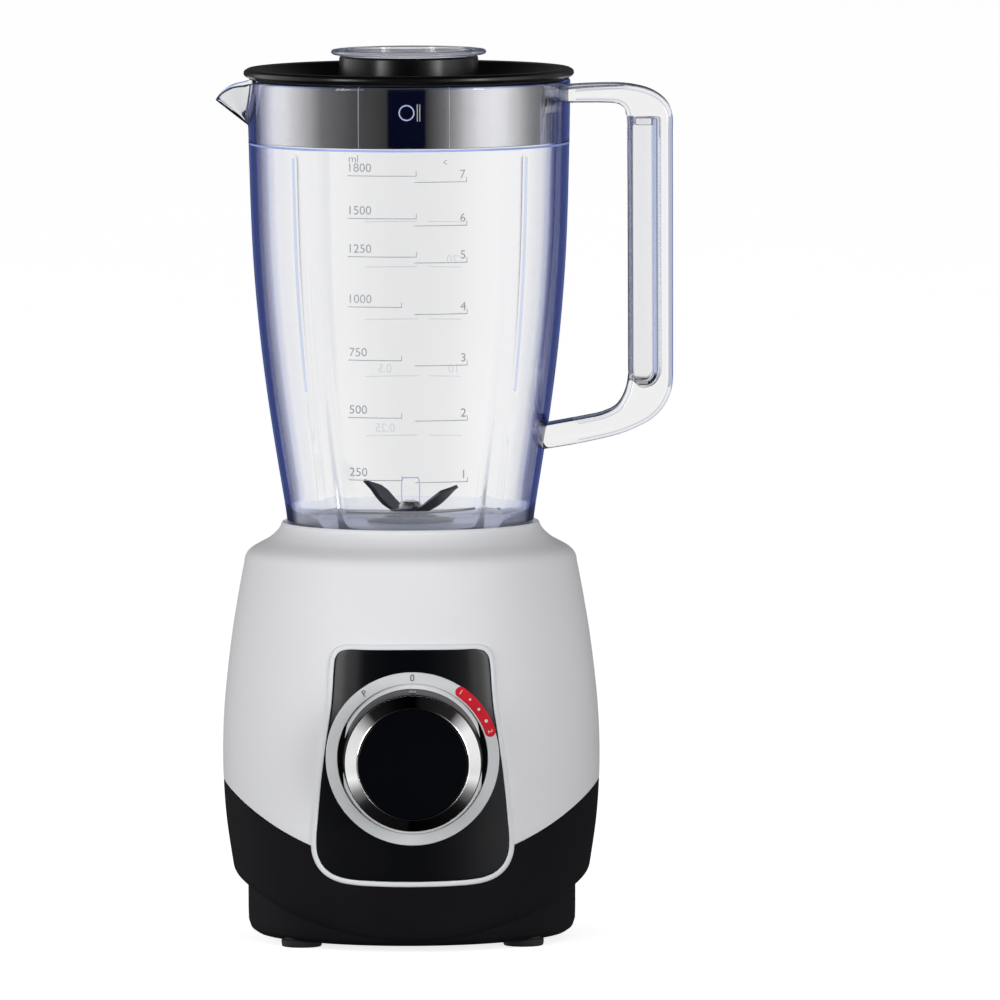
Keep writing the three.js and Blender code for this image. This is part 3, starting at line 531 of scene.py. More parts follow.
# Rubber feet with a shallow hollow in the sole.
for nm, (fx, fy) in {"foot_front_left": (-48.5, -38), "foot_front_right": (48.5, -38), "foot_rear_left": (-48.5, 38), "foot_rear_right": (48.5, 38)}.items():
    prof = fillet([(0, 4.4, 0), (7.6, 4.4, 0.2), (7.8, 3.4, 0.4), (9.0, 2.9, 0.5), (8.7, 0.0, 0.9), (6.2, 0.0, 0.4), (5.6, 0.7, 0.4), (0, 0.7, 0)], 0.4, 5)
    f = lathe(nm + "_pad", prof, RUBBER, 64, about=(fx, fy))
    place(f, "base", [nm])

# ---------------------------------------------------------------- control panel
HALF = [(28.2, 133.1), (31.6, 132.0), (33.4, 129.4), (33.9, 126.9), (35.2, 108.9), (37.6, 92.6), (39.7, 75.8), (41.4, 57.7), (42.0, 50.2), (41.6, 43.7), (39.4, 38.6), (35.8, 35.3), (31.0, 33.4), (24.5, 32.5), (17.8, 32.2)]
loop = [(0.0, 133.3), (10.0, 133.25), (20.0, 133.15)] + HALF[:] + [(9.0, 32.0), (0.0, 31.95)]
loop = loop + [(-x, z) for x, z in reversed(loop[1:-1])]
OUT = catmull(loop, 10, closed=True)


def resample(poly, n):
    p = np.array(poly + [poly[0]], float)
    s = np.concatenate([[0], np.cumsum(np.linalg.norm(np.diff(p, axis=0), axis=1))])
    t = np.linspace(0, s[-1], n, endpoint=False)
    return np.stack([np.interp(t, s, p[:, 0]), np.interp(t, s, p[:, 1])], 1)


OUT = resample(OUT, 400)
nxt, prv = np.roll(OUT, -1, 0), np.roll(OUT, 1, 0)
tan = nxt - prv
NRM = np.stack([-tan[:, 1], tan[:, 0]], 1)
NRM /= np.linalg.norm(NRM, axis=1)[:, None]
if (NRM * (OUT - OUT.mean(0))).sum() < 0:
    NRM = -NRM


def on_barrel(x, z, h):
    """The point over (x, z) on the front of the barrel, h outside its surface."""
    r = float(barrel(min(max(z, 0.0), 168.0))) + h
    return (x, -math.sqrt(max(1.0, r * r - x * x)), z)


DIAL_R0 = 32.7
n = len(OUT)
ang = np.arctan2(OUT[:, 1] - DIAL_Z, OUT[:, 0])
verts, faces = [], []
levels = 16
PANEL_H = 0.55
rows = []
rows.append([(DIAL_R0 * math.cos(a), DIAL_Z + DIAL_R0 * math.sin(a), -6.2) for a in ang])      # foot of the round well
rows.append([(DIAL_R0 * math.cos(a), DIAL_Z + DIAL_R0 * math.sin(a), PANEL_H - 0.35) for a in ang])
rows.append([((DIAL_R0 + 0.12) * math.cos(a), DIAL_Z + (DIAL_R0 + 0.12) * math.sin(a), PANEL_H - 0.08) for a in ang])
for i in range(levels):
    t = i / (levels - 1)
    row = []
    for k in range(n):
        a = ang[k]
        x0, z0 = (DIAL_R0 + 0.4) * math.cos(a), DIAL_Z + (DIAL_R0 + 0.4) * math.sin(a)
        x1, z1 = OUT[k] - NRM[k] * 0.25
        row.append((x0 + (x1 - x0) * t, z0 + (z1 - z0) * t, PANEL_H))
    rows.append(row)
rows.append([(*(OUT[k] - NRM[k] * 0.05), PANEL_H - 0.12) for k in range(n)])
rows.append([(*OUT[k], PANEL_H - 0.4) for k in range(n)])
rows.append([(*OUT[k], -0.6) for k in range(n)])
for i in range(7):
    t = i / 6
    row = []
    for k in range(n):
        a = ang[k]
        x0, z0 = (DIAL_R0 + 1.2) * math.cos(a), DIAL_Z + (DIAL_R0 + 1.2) * math.sin(a)
        x1, z1 = OUT[k] - NRM[k] * 0.9
        row.append((x1 + (x0 - x1) * t, z1 + (z0 - z1) * t, -1.6))
    rows.append(row)
FLOOR_Y = -76.9
for i, row in enumerate(rows):
    for (x, z, h) in row:
        if i == 0:
            p = (x, max(FLOOR_Y, on_barrel(x, z, PANEL_H - 0.5)[1]), z)
        else:
            p = on_barrel(x, z, h)
        verts.append(p)
faces = grid_faces(len(rows), n, True, True)
panel = build("control_panel", verts, faces, GLOSS, 30)
place(panel, "base", ["faceplate"])

# Floor of the round well, with a hub hole for the shaft.
prof = fillet([(3.4, 76.2, 0), (3.4, 77.0, 0.2), (20.0, 77.0, 0), (20.6, 76.5, 0.2), (22.0, 76.5, 0.2), (22.6, 77.0, 0.2), (32.6, 77.0, 0), (32.6, 75.0, 0), (3.4, 75.0, 0)], 0.2, 3, step=4.0)
v, f = lathe_data(prof, 160)
wf = build("dial_well_floor", to_front(v, DIAL_Z), f, KNOB_BLACK, 30)
place(wf, "base")

# Frame round the panel, a rounded bead.
sec = [(0.0, -0.5), (0.0, 0.62), (0.1, 0.86), (0.35, 1.0), (0.8, 1.06), (1.3, 1.06), (1.75, 0.98), (2.1, 0.78), (2.28, 0.45), (2.3, 0.1), (2.3, -0.5)]
verts = []
for u, h in sec:
    for k in range(n):
        x, z = OUT[k] + NRM[k] * (u + 0.03)
        verts.append(on_barrel(x, z, h))
fr = build("panel_bead", verts, grid_faces(len(sec), n, True, True), FRAME_WHITE, 40)
place(fr, "base", ["panel_frame"])

# Pale ring of the dial, lying on the panel.
RING_H = 1.15
ring_sec = [(32.9, RING_H - 0.55), (32.75, RING_H - 0.30), (32.85, RING_H - 0.07), (33.05, RING_H), (34.4, RING_H), (35.4, RING_H), (36.6, RING_H), (37.45, RING_H), (37.66, RING_H - 0.07), (37.78, RING_H - 0.25), (37.8, 0.3)]
NR = 256
verts = []
for r, h in ring_sec:
    for k in range(NR):
        a = 2 * math.pi * k / NR
        verts.append(on_barrel(r * math.cos(a), DIAL_Z + r * math.sin(a), h))
dr = build("dial_scale_ring", verts, grid_faces(len(ring_sec), NR, True, True), DIAL, 40)
place(dr, "base", ["dial_ring"])


def plate(name, grids, mat, h0, h1, body="base", mapper=None):
    """Thin raised marks: each grid is rows of (x, z) points, mapped on the surface between heights h0 and h1."""
    mapper = mapper or on_barrel
    verts, faces = [], []
    for g in grids:
        rws, cls = len(g), len(g[0])
        top = len(verts)
        for row in g:
            for x, z in row:
                verts.append(mapper(x, z, h1))
        bot = len(verts)
        for row in g:
            for x, z in row:
                verts.append(mapper(x, z, h0))
        faces += grid_faces(rws, cls, False, False, top)
        faces += mirror_faces(grid_faces(rws, cls, False, False, bot))
        edge = [(0, j) for j in range(cls)] + [(i, cls - 1) for i in range(1, rws)] + [(rws - 1, j) for j in range(cls - 2, -1, -1)] + [(i, 0) for i in range(rws - 2, 0, -1)]
        idx = [i * cls + j for i, j in edge]
        for a, b in zip(idx, idx[1:] + idx[:1]):
            faces.append((top + a, top + b, bot + b, bot + a))
    ob = build(name, verts, faces, mat, 30, weighted=False)
    place(ob, body)
    return ob


def dial_xy(r, clock):
    a = math.radians(clock)
    return r * math.sin(a), DIAL_Z + r * math.cos(a)


# Red arc with round ends: a strip along the ring, its half width closing at the ends.
def arc_grid(r, half, c0, c1, cols=64, rws=7):
    cap = math.degrees(half / r)
    g = []
    for i in range(rws):
        s = -1 + 2 * i / (rws - 1)
        row = []
        for j in range(cols):
            t = j / (cols - 1)
            # even columns in the middle, crowded at the ends
            c = c0 + (c1 - c0) * (0.5 - 0.5 * math.cos(math.pi * t))
            d = min(c - c0, c1 - c)
            k = math.sqrt(max(0.0, 1 - max(0.0, (cap - d) / cap) ** 2)) if d < cap else 1.0
            k = max(k, 0.02)
            row.append(dial_xy(r + s * half * k, c))
        g.append(row)
    return g


plate("dial_red_arc", [arc_grid(35.75, 2.35, 32.2, 75.2)], RED, RING_H - 0.05, RING_H + 0.05)


def disc_grid(cx, cz, rad, seg=20):
    """A disc as a grid: rows run across it."""
    g = []
    for i in range(9):
        u = -1 + 2 * i / 8
        uu = math.sin(u * math.pi / 2)
        w = math.sqrt(max(0.0, 1 - uu * uu))
        w = max(w, 0.03)
        g.append([(cx + rad * w * math.sin((-1 + 2 * j / 8) * math.pi / 2), cz + rad * uu) for j in range(9)])
    return g


plate("dial_dots", [disc_grid(*dial_xy(35.9, c), r) for c, r in ((44.4, 0.50), (53.7, 0.62), (63.4, 0.72))], INK_WHITE, RING_H, RING_H + 0.10)


def glyphs(text, size):
    """Flat triangles of a text, centred at the origin, in millimetres. size is the height of a capital."""
    cu = bpy.data.curves.new("t", "FONT")
    cu.body = text
    cu.size = 1.0
    cu.align_x = "CENTER"
    cu.align_y = "CENTER"
    cu.resolution_u = 4
    ob = bpy.data.objects.new("t", cu)
    bpy.context.scene.collection.objects.link(ob)
    dg = bpy.context.evaluated_depsgraph_get()
    dg.update()
    me = bpy.data.meshes.new_from_object(ob.evaluated_get(dg))
    bm = bmesh.new()
    bm.from_mesh(me)
    bmesh.ops.remove_doubles(bm, verts=bm.verts, dist=1e-5)
    bmesh.ops.triangulate(bm, faces=bm.faces)
    v = np.array([(p.co.x, p.co.y) for p in bm.verts])
    f = [tuple(x.index for x in q.verts) for q in bm.faces]
    b = [tuple(x.index for x in e.verts) for e in bm.edges if len(e.link_faces) == 1]
    bm.free()
    bpy.data.objects.remove(ob)
    bpy.data.meshes.remove(me)
    bpy.data.curves.remove(cu)
    v -= (v.max(0) + v.min(0)) / 2
    v *= size / 0.73
    return v, f, b


def text_plate(name, items, mat, h0, h1, body, mapper):
    """items: (text, height, x, z, clock turn, mirrored). One object of thin raised glyphs."""
    verts, faces = [], []
    for text, size, cx, cz, turn, flip in items:
        g, f, b = glyphs(text, size)
        a = -math.radians(turn)
        c, s = math.cos(a), math.sin(a)
        pts = [((-x if flip else x), y) for x, y in g]
        pts = [(cx + x * c - y * s, cz + x * s + y * c) for x, y in pts]
        top = len(verts)
        verts += [mapper(x, z, h1) for x, z in pts]
        bot = len(verts)
        verts += [mapper(x, z, h0) for x, z in pts]
        faces += [tuple(top + i for i in q) for q in f]
        faces += [tuple(bot + i for i in reversed(q)) for q in f]
        faces += [(top + i, top + j, bot + j, bot + i) for i, j in b]
    ob = build(name, verts, faces, mat, 20, weighted=False)
    place(ob, body)
    return ob


text_plate("dial_off_mark", [("0", 3.0, *dial_xy(35.4, 0), 0, False)], INK, RING_H - 0.02, RING_H + 0.06, "base", on_barrel)
text_plate("dial_pulse_mark", [("P", 2.9, *dial_xy(35.4, -36), -36, False)], INK, RING_H - 0.02, RING_H + 0.06, "base", on_barrel)
text_plate("dial_numbers", [("1", 2.2, *dial_xy(35.9, 36.2), 36, False), ("2", 2.2, *dial_xy(35.9, 71.2), 71, False)], INK_WHITE, RING_H, RING_H + 0.10, "base", on_barrel)

# ---------------------------------------------------------------- knob
KN = 200
prof = fillet([(0, 78.2, 0), (29.8, 78.2, 0.4), (30.7, 78.6, 0.4), (30.4, 84.0, 0), (29.85, 101.9, 0), (29.65, 102.6, 0.25), (26.0, 102.6, 0.2), (25.6, 102.0, 0.2), (0, 102.0, 0)], 0.3, 5, step=3.0)
v, f = lathe_data(prof, KN)
kb = build("knob_skirt", to_front(v, DIAL_Z), f, KNOB_BLACK, 30)
place(kb, "knob", ["knob"])
prof = fillet([(29.4, 102.65, 0.15), (29.5, 103.25, 0.25), (29.15, 103.55, 0.25), (24.65, 107.95, 0.25), (24.30, 108.15, 0.12), (24.05, 107.8, 0.12), (24.05, 102.65, 0.1)], 0.2, 5, closed=True)
v, f = lathe_data(prof, KN)
kt = build("knob_bevel_ring", to_front(v, DIAL_Z), f, CHROME, 26)
place(kt, "knob", ["knob_trim_ring"])
prof = fillet([(0, 102.7, 0), (23.95, 102.7, 0.1), (23.95, 107.4, 0.2), (23.5, 107.65, 0.25), (14.0, 107.5, 0), (0, 107.42, 0)], 0.3, 5, step=2.5)
v, f = lathe_data(prof, KN)
kc = build("knob_face", to_front(v, DIAL_Z), f, CAP_BLACK, 26)
place(kc, "knob", ["knob_cap"])


def knob_map(x, z, h):
    """x across, z along the knob's axis from the face back, on the top of its skirt."""
    y = 104.2 - z
    r = 29.75 + (104.2 - y) / 20.2 * 1.45 + h
    a = x / r
    return (r * math.sin(a), -y, DIAL_Z + r * math.cos(a))


g = [[(-1.4 + 2.8 * j / 8, 8.5 + 4.6 * i / 6) for j in range(9)] for i in range(7)]
plate("knob_pointer", [g], POINTER, -0.10, 0.06, "knob", knob_map)

# ---------------------------------------------------------------- jug
jug_out = spline([150.4, 165, 183, 188, 197, 210.1, 223.3, 236.6, 249.8, 263.1, 276.3, 289.6, 302.8, 322.7, 342.5, 352, 376.1],
                 [53.4, 53.65, 54.0, 54.55, 55.95, 58.1, 60.2, 62.15, 63.9, 65.45, 66.75, 67.85, 68.7, 69.55, 70.1, 70.35, 70.8])
RIM = 376.1


def columns():
    """Angles from +X, crowded round the spout at 180 degrees."""
    a = []
    t = -165.0
    while t < 165.0 - 1e-6:
        a.append(t)
        t += 1.25
    t = 165.0
    while t < 195.0 - 1e-6:
        a.append(t)
        t += 0.5
    return [math.radians(x) for x in a]


COLS = columns()
NC = len(COLS)


def spout(r, z, th):
    """Moves a point of the jug's upper wall out into the pouring lip."""
    t = (z - 357.6) / (RIM - 357.6)
    if t <= 0 or abs(abs(th if th <= math.pi else th - 2 * math.pi) - math.pi) > math.radians(24):
        return r, z
    y = r * math.sin(th)
    w = 18.2 * t ** 0.9 + 0.6
    u = abs(y) / w
    if u >= 1:
        return r, z
    soft = math.sqrt(u * u + 0.006) - 0.02
    q = max(0.0, 1 - soft)
    ease = 1 - (1 - min(1.0, (1 - u) * 5)) ** 2 if u > 0.8 else 1.0
    return r + 15.15 * t * q * ease, z - 8.5 * t * q ** 3.2 * ease


RIB_AT = [math.radians(a) for a in (-90 - 41.5, -90 + 41.5, 90 - 41.5, 90 + 41.5)]
THIN_AT = [math.radians(a) for a in (-90 - 47.0, -90 + 47.0)]


def rib(z, th):
    """How far the inner wall stands in at the four flow ribs and the two narrow guide ribs."""
    if z > 349.6 or z < 178:
        return 0.0
    k = 1.0
    low = min(1.0, max(0.0, (350.0 - z) / 165.0))
    d = 0.0
    for a in RIB_AT:
        diff = abs((th - a + math.pi) % (2 * math.pi) - math.pi) * 62.0
        half = 0.6 + 2.4 * low ** 2
        if diff < half + 6.4:
            e = min(1.0, (half + 6.4 - diff) / 7.0)
            d = max(d, (0.40 + 1.25 * low ** 2.5) * e * e * (3 - 2 * e))
    for a in THIN_AT:
        diff = abs((th - a + math.pi) % (2 * math.pi) - math.pi) * 66.0
        if diff < 2.0 and z > 196:
            kk = min(1.0, (347.5 - z) / 1.6, (z - 196) / 60.0) if z < 347.5 else 0.0
            e = min(1.0, (2.0 - diff) / 1.5)
            d = max(d, 0.8 * max(0.0, kk) * e * e * (3 - 2 * e))
    return d * k


profile = []          # (kind, r, z)
# outer, from the skirt's foot up
for r, z in [(51.6, 150.4), (52.6, 150.42), (53.1, 150.6), (53.35, 151.0)]:
    profile.append(("o", r, z))
z = 152.0
while z < 374.6:
    profile.append(("o", float(jug_out(z)), z))
    z += 3.2 if z < 340 else 1.3
for r, z in [(70.78, 375.0), (70.70, 375.5), (70.50, 375.9), (70.15, 376.1), (69.6, 376.12), (69.1, 376.1), (68.75, 375.9), (68.52, 375.5), (68.42, 375.0)]:
    profile.append(("o", r, z))
z = 373.8
while z > 350.9:
    profile.append(("o", 68.0 + 0.4 * (z - 352) / 24.0, z))
    z -= 1.3
profile += [("i", 67.98, 350.4), ("i", 67.93, 350.15), ("i", 67.75, 350.0), ("i", 67.35, 349.95), ("i", 67.1, 349.8), ("i", 66.98, 349.5)]
z = 348.6
while z > 196:
    profile.append(("i", float(jug_out(z)) - 3.2, z))
    z -= 0.9 if z > 343 else 3.0
for r, z in catmull([(52.6, 195.0), (51.9, 190.5), (50.6, 186.6), (47.8, 182.4), (44.3, 179.4), (40.4, 177.9), (36.0, 177.1), (30.0, 176.75), (24.0, 176.6)], 3):
    profile.append(("i", r, z))
for r, z in fillet([(21.5, 176.6, 0), (20.4, 176.5, 0.2), (11.9, 176.5, 0.3), (11.6, 173.2, 0.3), (24.0, 173.0, 0)], 0.3, 4):
    profile.append(("i", r, z))
for r, z in fillet([(30.0, 173.1, 0), (42.5, 173.6, 2.0), (48.2, 177.4, 3.0), (50.6, 174.0, 2.0), (50.4, 152.4, 0.5), (50.6, 150.9, 0)], 0.3, 5, step=4.0):
    profile.append(("i", r, z))
profile.append(("i", 50.9, 150.5))

verts = []
for kind, r, z in profile:
    for th in COLS:
        rr, zz = (r, z)
        if kind == "i":
            rr = r - rib(z, th) * min(1.0, max(0.0, (r - 44.0) / 6.0))
        if z > 352.5:
            rr, zz = spout(rr, z, th)
            far = 1.0
            if math.cos(th) < 0:
                u = min(1.0, max(0.0, (abs(r * math.sin(th)) - 13.0) / 9.0))
                far = u * u * (3 - 2 * u)
            zz += 1.6 * (z - 352.5) / 23.6 * far
        verts.append((rr * math.cos(th), rr * math.sin(th), zz))
jug = build("jug_body", verts, grid_faces(len(profile), NC, True, True), GLASS, 40, weighted=False)
jug.data.materials.append(GLASS_EDGE)
jug.data.materials.append(GLASS_HANDLE)
jug.data.materials.append(GLASS_FLOOR)
jug.data.materials.append(GLASS_MIST)
jug.data.materials.append(GLASS_PAINTED_SHADE_LINE)
jug.data.materials.append(GLASS_PAINTED_DEEP_SHADE)

# Handle: a rounded bar in the jug's middle plane, rooted in the wall at both ends.
outer = [(64.0, 374.8), (70.0, 374.9), (78.0, 375.3), (86.0, 375.5), (93.2, 375.4), (99.5, 374.6), (105.8, 372.8), (110.9, 369.7), (114.1, 365.9), (115.4, 361.4), (115.45, 354.0), (115.45, 330.0), (115.4, 300.0), (115.35, 270.0), (115.3, 252.0), (115.2, 245.5), (114.3, 240.4), (111.4, 234.3), (106.0, 228.6), (97.9, 224.3), (91.2, 221.8), (79.9, 219.1), (70.0, 217.2), (58.0, 215.3), (52.0, 214.4)]
inner = [(52.0, 224.8), (62.0, 226.6), (70.0, 228.0), (77.7, 229.4), (84.4, 230.9), (90.6, 234.0), (94.4, 240.2), (95.9, 247.8), (96.0, 256.0), (95.9, 285.0), (95.7, 315.0), (95.5, 345.0), (95.3, 359.0), (94.5, 364.4), (91.8, 366.7), (86.0, 367.3), (78.0, 367.35), (70.0, 367.3), (64.0, 367.3)]
ho, hi_ = catmull(outer, 5), catmull(inner, 5)
poly = np.array(ho + [(52.0, 218.0), (52.0, 221.4)] + hi_ + [(64.0, 370.0), (64.0, 372.4)])
pn = len(poly)
t_ = np.roll(poly, -1, 0) - np.roll(poly, 1, 0)
pnorm = np.stack([-t_[:, 1], t_[:, 0]], 1)
pnorm /= np.linalg.norm(pnorm, axis=1)[:, None]
area = 0.5 * np.sum(poly[:, 0] * np.roll(poly[:, 1], -1) - np.roll(poly[:, 0], -1) * poly[:, 1])
inward = pnorm if area > 0 else -pnorm
HALF_W, ROUND = 11.7, 3.8


def handle_rows():
    rows = []
    for k in range(8):
        t = math.pi / 2 * (1 - k / 7)
        rows.append((-(HALF_W - ROUND) - ROUND * math.sin(t), ROUND * (1 - math.cos(t))))
    for k in range(1, 8):
        rows.append((-(HALF_W - ROUND) + 2 * (HALF_W - ROUND) * k / 8, 0.0))
    for k in range(8):
        t = math.pi / 2 * k / 7
        rows.append(((HALF_W - ROUND) + ROUND * math.sin(t), ROUND * (1 - math.cos(t))))
    return rows


verts = []
hr = handle_rows()
for y, inset in hr:
    for k in range(pn):
        x, z = poly[k] + inward[k] * inset
        rc = float(jug_out(min(max(z, 150.5), 376.0))) - 1.5
        xmin = math.sqrt(rc * rc - y * y)
        verts.append((max(x, xmin), y, z))
faces = grid_faces(len(hr), pn, False, True)
faces.append(tuple(range(pn)))
faces.append(tuple(range((len(hr) - 1) * pn, len(hr) * pn))[::-1])
mesh = bpy.data.meshes.new("handle_tool")
vv = np.array(verts) * 0.001
vv[:, 0] += AX
vv[:, 1] += AY
mesh.from_pydata(vv.tolist(), [], faces)
bm = bmesh.new(); bm.from_mesh(mesh)
bmesh.ops.dissolve_degenerate(bm, dist=2e-5, edges=bm.edges)
bmesh.ops.triangulate(bm, faces=[q for q in bm.faces if len(q.verts) > 4])
bmesh.ops.recalc_face_normals(bm, faces=bm.faces)
bm.to_mesh(mesh); bm.free()
handle = bpy.data.objects.new("handle_tool", mesh)
bpy.context.scene.collection.objects.link(handle)


def rounded_box(name, lo, hi, rad, seg=6):
    """A box with its Z edges rounded, and its ends closed with a smaller round."""
    x0, y0, z0 = lo
    x1, y1, z1 = hi
    pts = fillet([(x0, y0), (x1, y0), (x1, y1), (x0, y1)], rad, seg, closed=True)
    cx, cy = (x0 + x1) / 2, (y0 + y1) / 2
    zs = []
    e = min(rad * 0.6, (z1 - z0) / 4)
    for k in range(5):
        t = math.pi / 2 * k / 4
        zs.append((z0 + e * (1 - math.sin(t)), e * (1 - math.cos(t))))
    zs = list(reversed(zs))
    zs = [(z, i) for z, i in sorted(zs)]
    up = [(z1 - (z - z0), i) for z, i in reversed(zs)]
    rows = zs + up
    verts = []
    for z, ins in rows:
        for x, y in pts:
            sx = (x1 - x0 - 2 * ins) / (x1 - x0)
            sy = (y1 - y0 - 2 * ins) / (y1 - y0)
            verts.append((cx + (x - cx) * sx, cy + (y - cy) * sy, z))
    m = len(pts)
    faces = grid_faces(len(rows), m, False, True)
    faces += [tuple(range(m)), tuple(range((len(rows) - 1) * m, len(rows) * m))]
    return verts, faces


def tool(name, v, f):
    mesh = bpy.data.meshes.new(name)
    vv = np.array(v) * 0.001
    vv[:, 0] += AX
    vv[:, 1] += AY
    mesh.from_pydata(vv.tolist(), [], f)
    bm = bmesh.new(); bm.from_mesh(mesh)
    bmesh.ops.triangulate(bm, faces=[q for q in bm.faces if len(q.verts) > 4])
    bmesh.ops.recalc_face_normals(bm, faces=bm.faces)
    bm.to_mesh(mesh); bm.free()
    ob = bpy.data.objects.new(name, mesh)
    bpy.context.scene.collection.objects.link(ob)
    return ob


def boolean(ob, other, op):
    md = ob.modifiers.new("b", "BOOLEAN")
    md.operation = op
    md.object = other
    kinds = [i.identifier for i in md.bl_rna.properties["solver"].enum_items]
    md.solver = "MANIFOLD" if "MANIFOLD" in kinds else "EXACT"
    dg = bpy.context.evaluated_depsgraph_get()
    dg.update()
    me = bpy.data.meshes.new_from_object(ob.evaluated_get(dg))
    ob.modifiers.remove(md)
    old = ob.data
    ob.data = me
    bpy.data.meshes.remove(old)
    bpy.data.objects.remove(other)


boolean(jug, handle, "UNION")
v, f = rounded_box("rebate_tool", (88.0, -9.2, 247.6), (98.75, 9.2, 361.7), 0.6)
boolean(jug, tool("rebate_tool", v, f), "DIFFERENCE")


def hollow_tool(pts, z0, z1, foot, head):
    """The hollow of the grip: a drop-shaped section whose ends are rounded off."""
    cx = sum(p[0] for p in pts) / len(pts)
    rows = []
    for k in range(9):
        t = math.pi / 2 * k / 8
        rows.append((z0 + foot * (1 - math.sin(math.pi / 2 - t)), max(0.02, math.sin(t))))
    for k in range(1, 12):
        rows.append((z0 + foot + (z1 - head - z0 - foot) * k / 12, 1.0))
    for k in range(9):
        t = math.pi / 2 * k / 8
        rows.append((z1 - head + head * math.sin(t), 0.55 + 0.45 * math.cos(t)))
    verts = [(cx + (x - cx) * sc, y * sc, z) for z, sc in rows for x, y in pts]
    m = len(pts)
    return verts, grid_faces(len(rows), m, False, True) + [tuple(range(m)), tuple(range((len(rows) - 1) * m, len(rows) * m))]


section = []
for k in range(40):
    t = 2 * math.pi * k / 40
    cx_, sx_ = math.cos(t), math.sin(t)
    px = 103.9 + (6.4 * cx_ ** 0.9 if cx_ > 0 else -6.6 * abs(cx_) ** 0.16)
    py = 9.15 * math.copysign(abs(sx_) ** (0.9 if cx_ > 0 else 0.16), sx_)
    section.append((px, py))
v, f = hollow_tool(section, 241.5, 361.7, 9.0, 1.6)
boolean(jug, tool("hollow_tool", v, f), "DIFFERENCE")
jm = jug.data
jm.materials.clear()
jm.materials.append(GLASS)
jm.materials.append(GLASS_EDGE)
jm.materials.append(GLASS_HANDLE)
jm.materials.append(GLASS_FLOOR)
jm.materials.append(GLASS_MIST)
jm.materials.append(GLASS_PAINTED_SHADE_LINE)
jm.materials.append(GLASS_PAINTED_DEEP_SHADE)


def edge_face(c, nrm):
    """Faces that gather the tint: the ledge, the rim, the rib flanks, the handle's outer and root edges."""
    x, y, z = (c[0] - AX) * 1000, (c[1] - AY) * 1000, c[2] * 1000
    r, th = math.hypot(x, y), math.atan2(y, x)
    if r < 69.2 and 349.7 < z < 350.5 and r > 66.8:
        return True
    if z > 376.5 and r < 72 and x < 71.0:
        return True
    if x > 114.3 and z < 362 and z > 238:
        return True
    if x > 68.5 and x < 72.6 and abs(y) < 12.0 and 366.0 < z < 378.3 and r > 70.85 and abs(nrm[0]) > 0.2:
        return True
    if x < -60 and abs(y) < 19 and 357 < z and r > 72:
        a = abs(nrm[2])
        return a > 0.75
    if 181.0 < z < 349.0 and r < float(jug_out(z)) - 2.6:
        k = abs(rib(z, th + 0.012) - rib(z, th - 0.012))
        return k > 0.62
    return False




def zone(c, nrm):
    x, y, z = (c[0] - AX) * 1000, (c[1] - AY) * 1000, c[2] * 1000
    # Painted shade lines: thin strips on the handle's side roundings take the darker glass (index 5), and the grip's
    # outer rounding takes the darkest (index 6).
    if x > 73.0 and 10.1 < abs(y) < 11.75:
        k = math.hypot(nrm[0], nrm[2])
        if x > 111.0 and 243.0 < z < 361.0 and nrm[0] > 0:
            if 0.40 < k < 0.80:
                return 6
        elif 0.40 < k < 0.62:
            return 5
    if edge_face(c, nrm):
        return 1
    r = math.hypot(x, y)
    if x > 71.5 and abs(y) < 13:
        return 2
    if z < 178.3 and r < float(jug_out(max(z, 150.5))) - 1.8:
        return 3
    if z < 191.5 and 36.0 < r < float(jug_out(z)) - 2.2:
        return 4
    return 0


flags = [zone(p.center, p.normal) for p in jm.polygons]
jm.polygons.foreach_set("material_index", flags)
jm.polygons.foreach_set("use_smooth", [True] * len(jm.polygons))
jm.set_sharp_from_angle(angle=math.radians(38))
place(jug, "jug", ["jug"])
print("jug", len(jm.polygons), "faces")

v, f = rounded_box("grip", (95.85, -8.9, 248.0), (98.5, 8.9, 361.3), 0.9, 4)
gi = build("grip_strip", v, f, GLASS_GRIP, 30)
place(gi, "jug", ["handle_insert"])
v, f = rounded_box("grip_top", (99.1, -6.2, 357.4), (108.6, 6.2, 361.3), 1.6, 5)
gt = build("grip_top_block", v, f, GLASS_BLOCK, 30)
place(gt, "jug")


# Marks of the capacity scale, moulded on the front of the jug and, mirrored to the eye, on its rear.
def on_jug(x, z, h):
    r = float(jug_out(z)) + h
    return (x, -math.sqrt(max(1.0, r * r - x * x)), z)


def on_jug_rear(x, z, h):
    r = float(jug_out(z)) + h
    return (x, math.sqrt(max(1.0, r * r - x * x)), z)


def bar(x0, z0, x1, z1, w=0.35, cols=14):
    dx, dz = x1 - x0, z1 - z0
    L = math.hypot(dx, dz)
    nx, nz = -dz / L * w / 2, dx / L * w / 2
    return [[(x0 + dx * j / cols + nx * s, z0 + dz * j / cols + nz * s) for j in range(cols + 1)] for s in (-1, 1)]


left = [("1800", 339.1), ("1500", 320.5), ("1250", 303.8), ("1000", 281.8), ("750", 258.4), ("500", 233.1), ("250", 205.5)]
right = [("7", 336.4), ("6", 317.4), ("5", 301.2), ("4", 278.7), ("3", 256.1), ("2", 231.8), ("1", 204.6)]
bars, items = [], []
for i, (t, z) in enumerate(left):
    x1 = 2.6 if i < 3 else -4.0
    bars.append(bar(-27.3, z, x1, z))
    bars.append(bar(x1, z - 0.1, x1, z + 2.2, 0.3, 2))
    items.append((t, 3.9, -27.3 + (5.6 if len(t) == 4 else 4.4), z + 3.6, 0, False))
for i, (t, z) in enumerate(right):
    bars.append(bar(1.8, z, 24.6, z))
    bars.append(bar(24.6, z - 0.1, 24.6, z + 2.0, 0.3, 2))
    items.append((t, 3.9, 22.9, z + 3.4, 0, False))
items.append(("ml", 3.4, -24.6, 346.6, 0, False))
items.append(("c", 3.0, 15.4, 345.0, 0, False))
plate("jug_scale_lines", bars, MARK, -0.02, 0.10, "jug", on_jug)
text_plate("jug_scale_digits", items, MARK, -0.02, 0.10, "jug", on_jug)
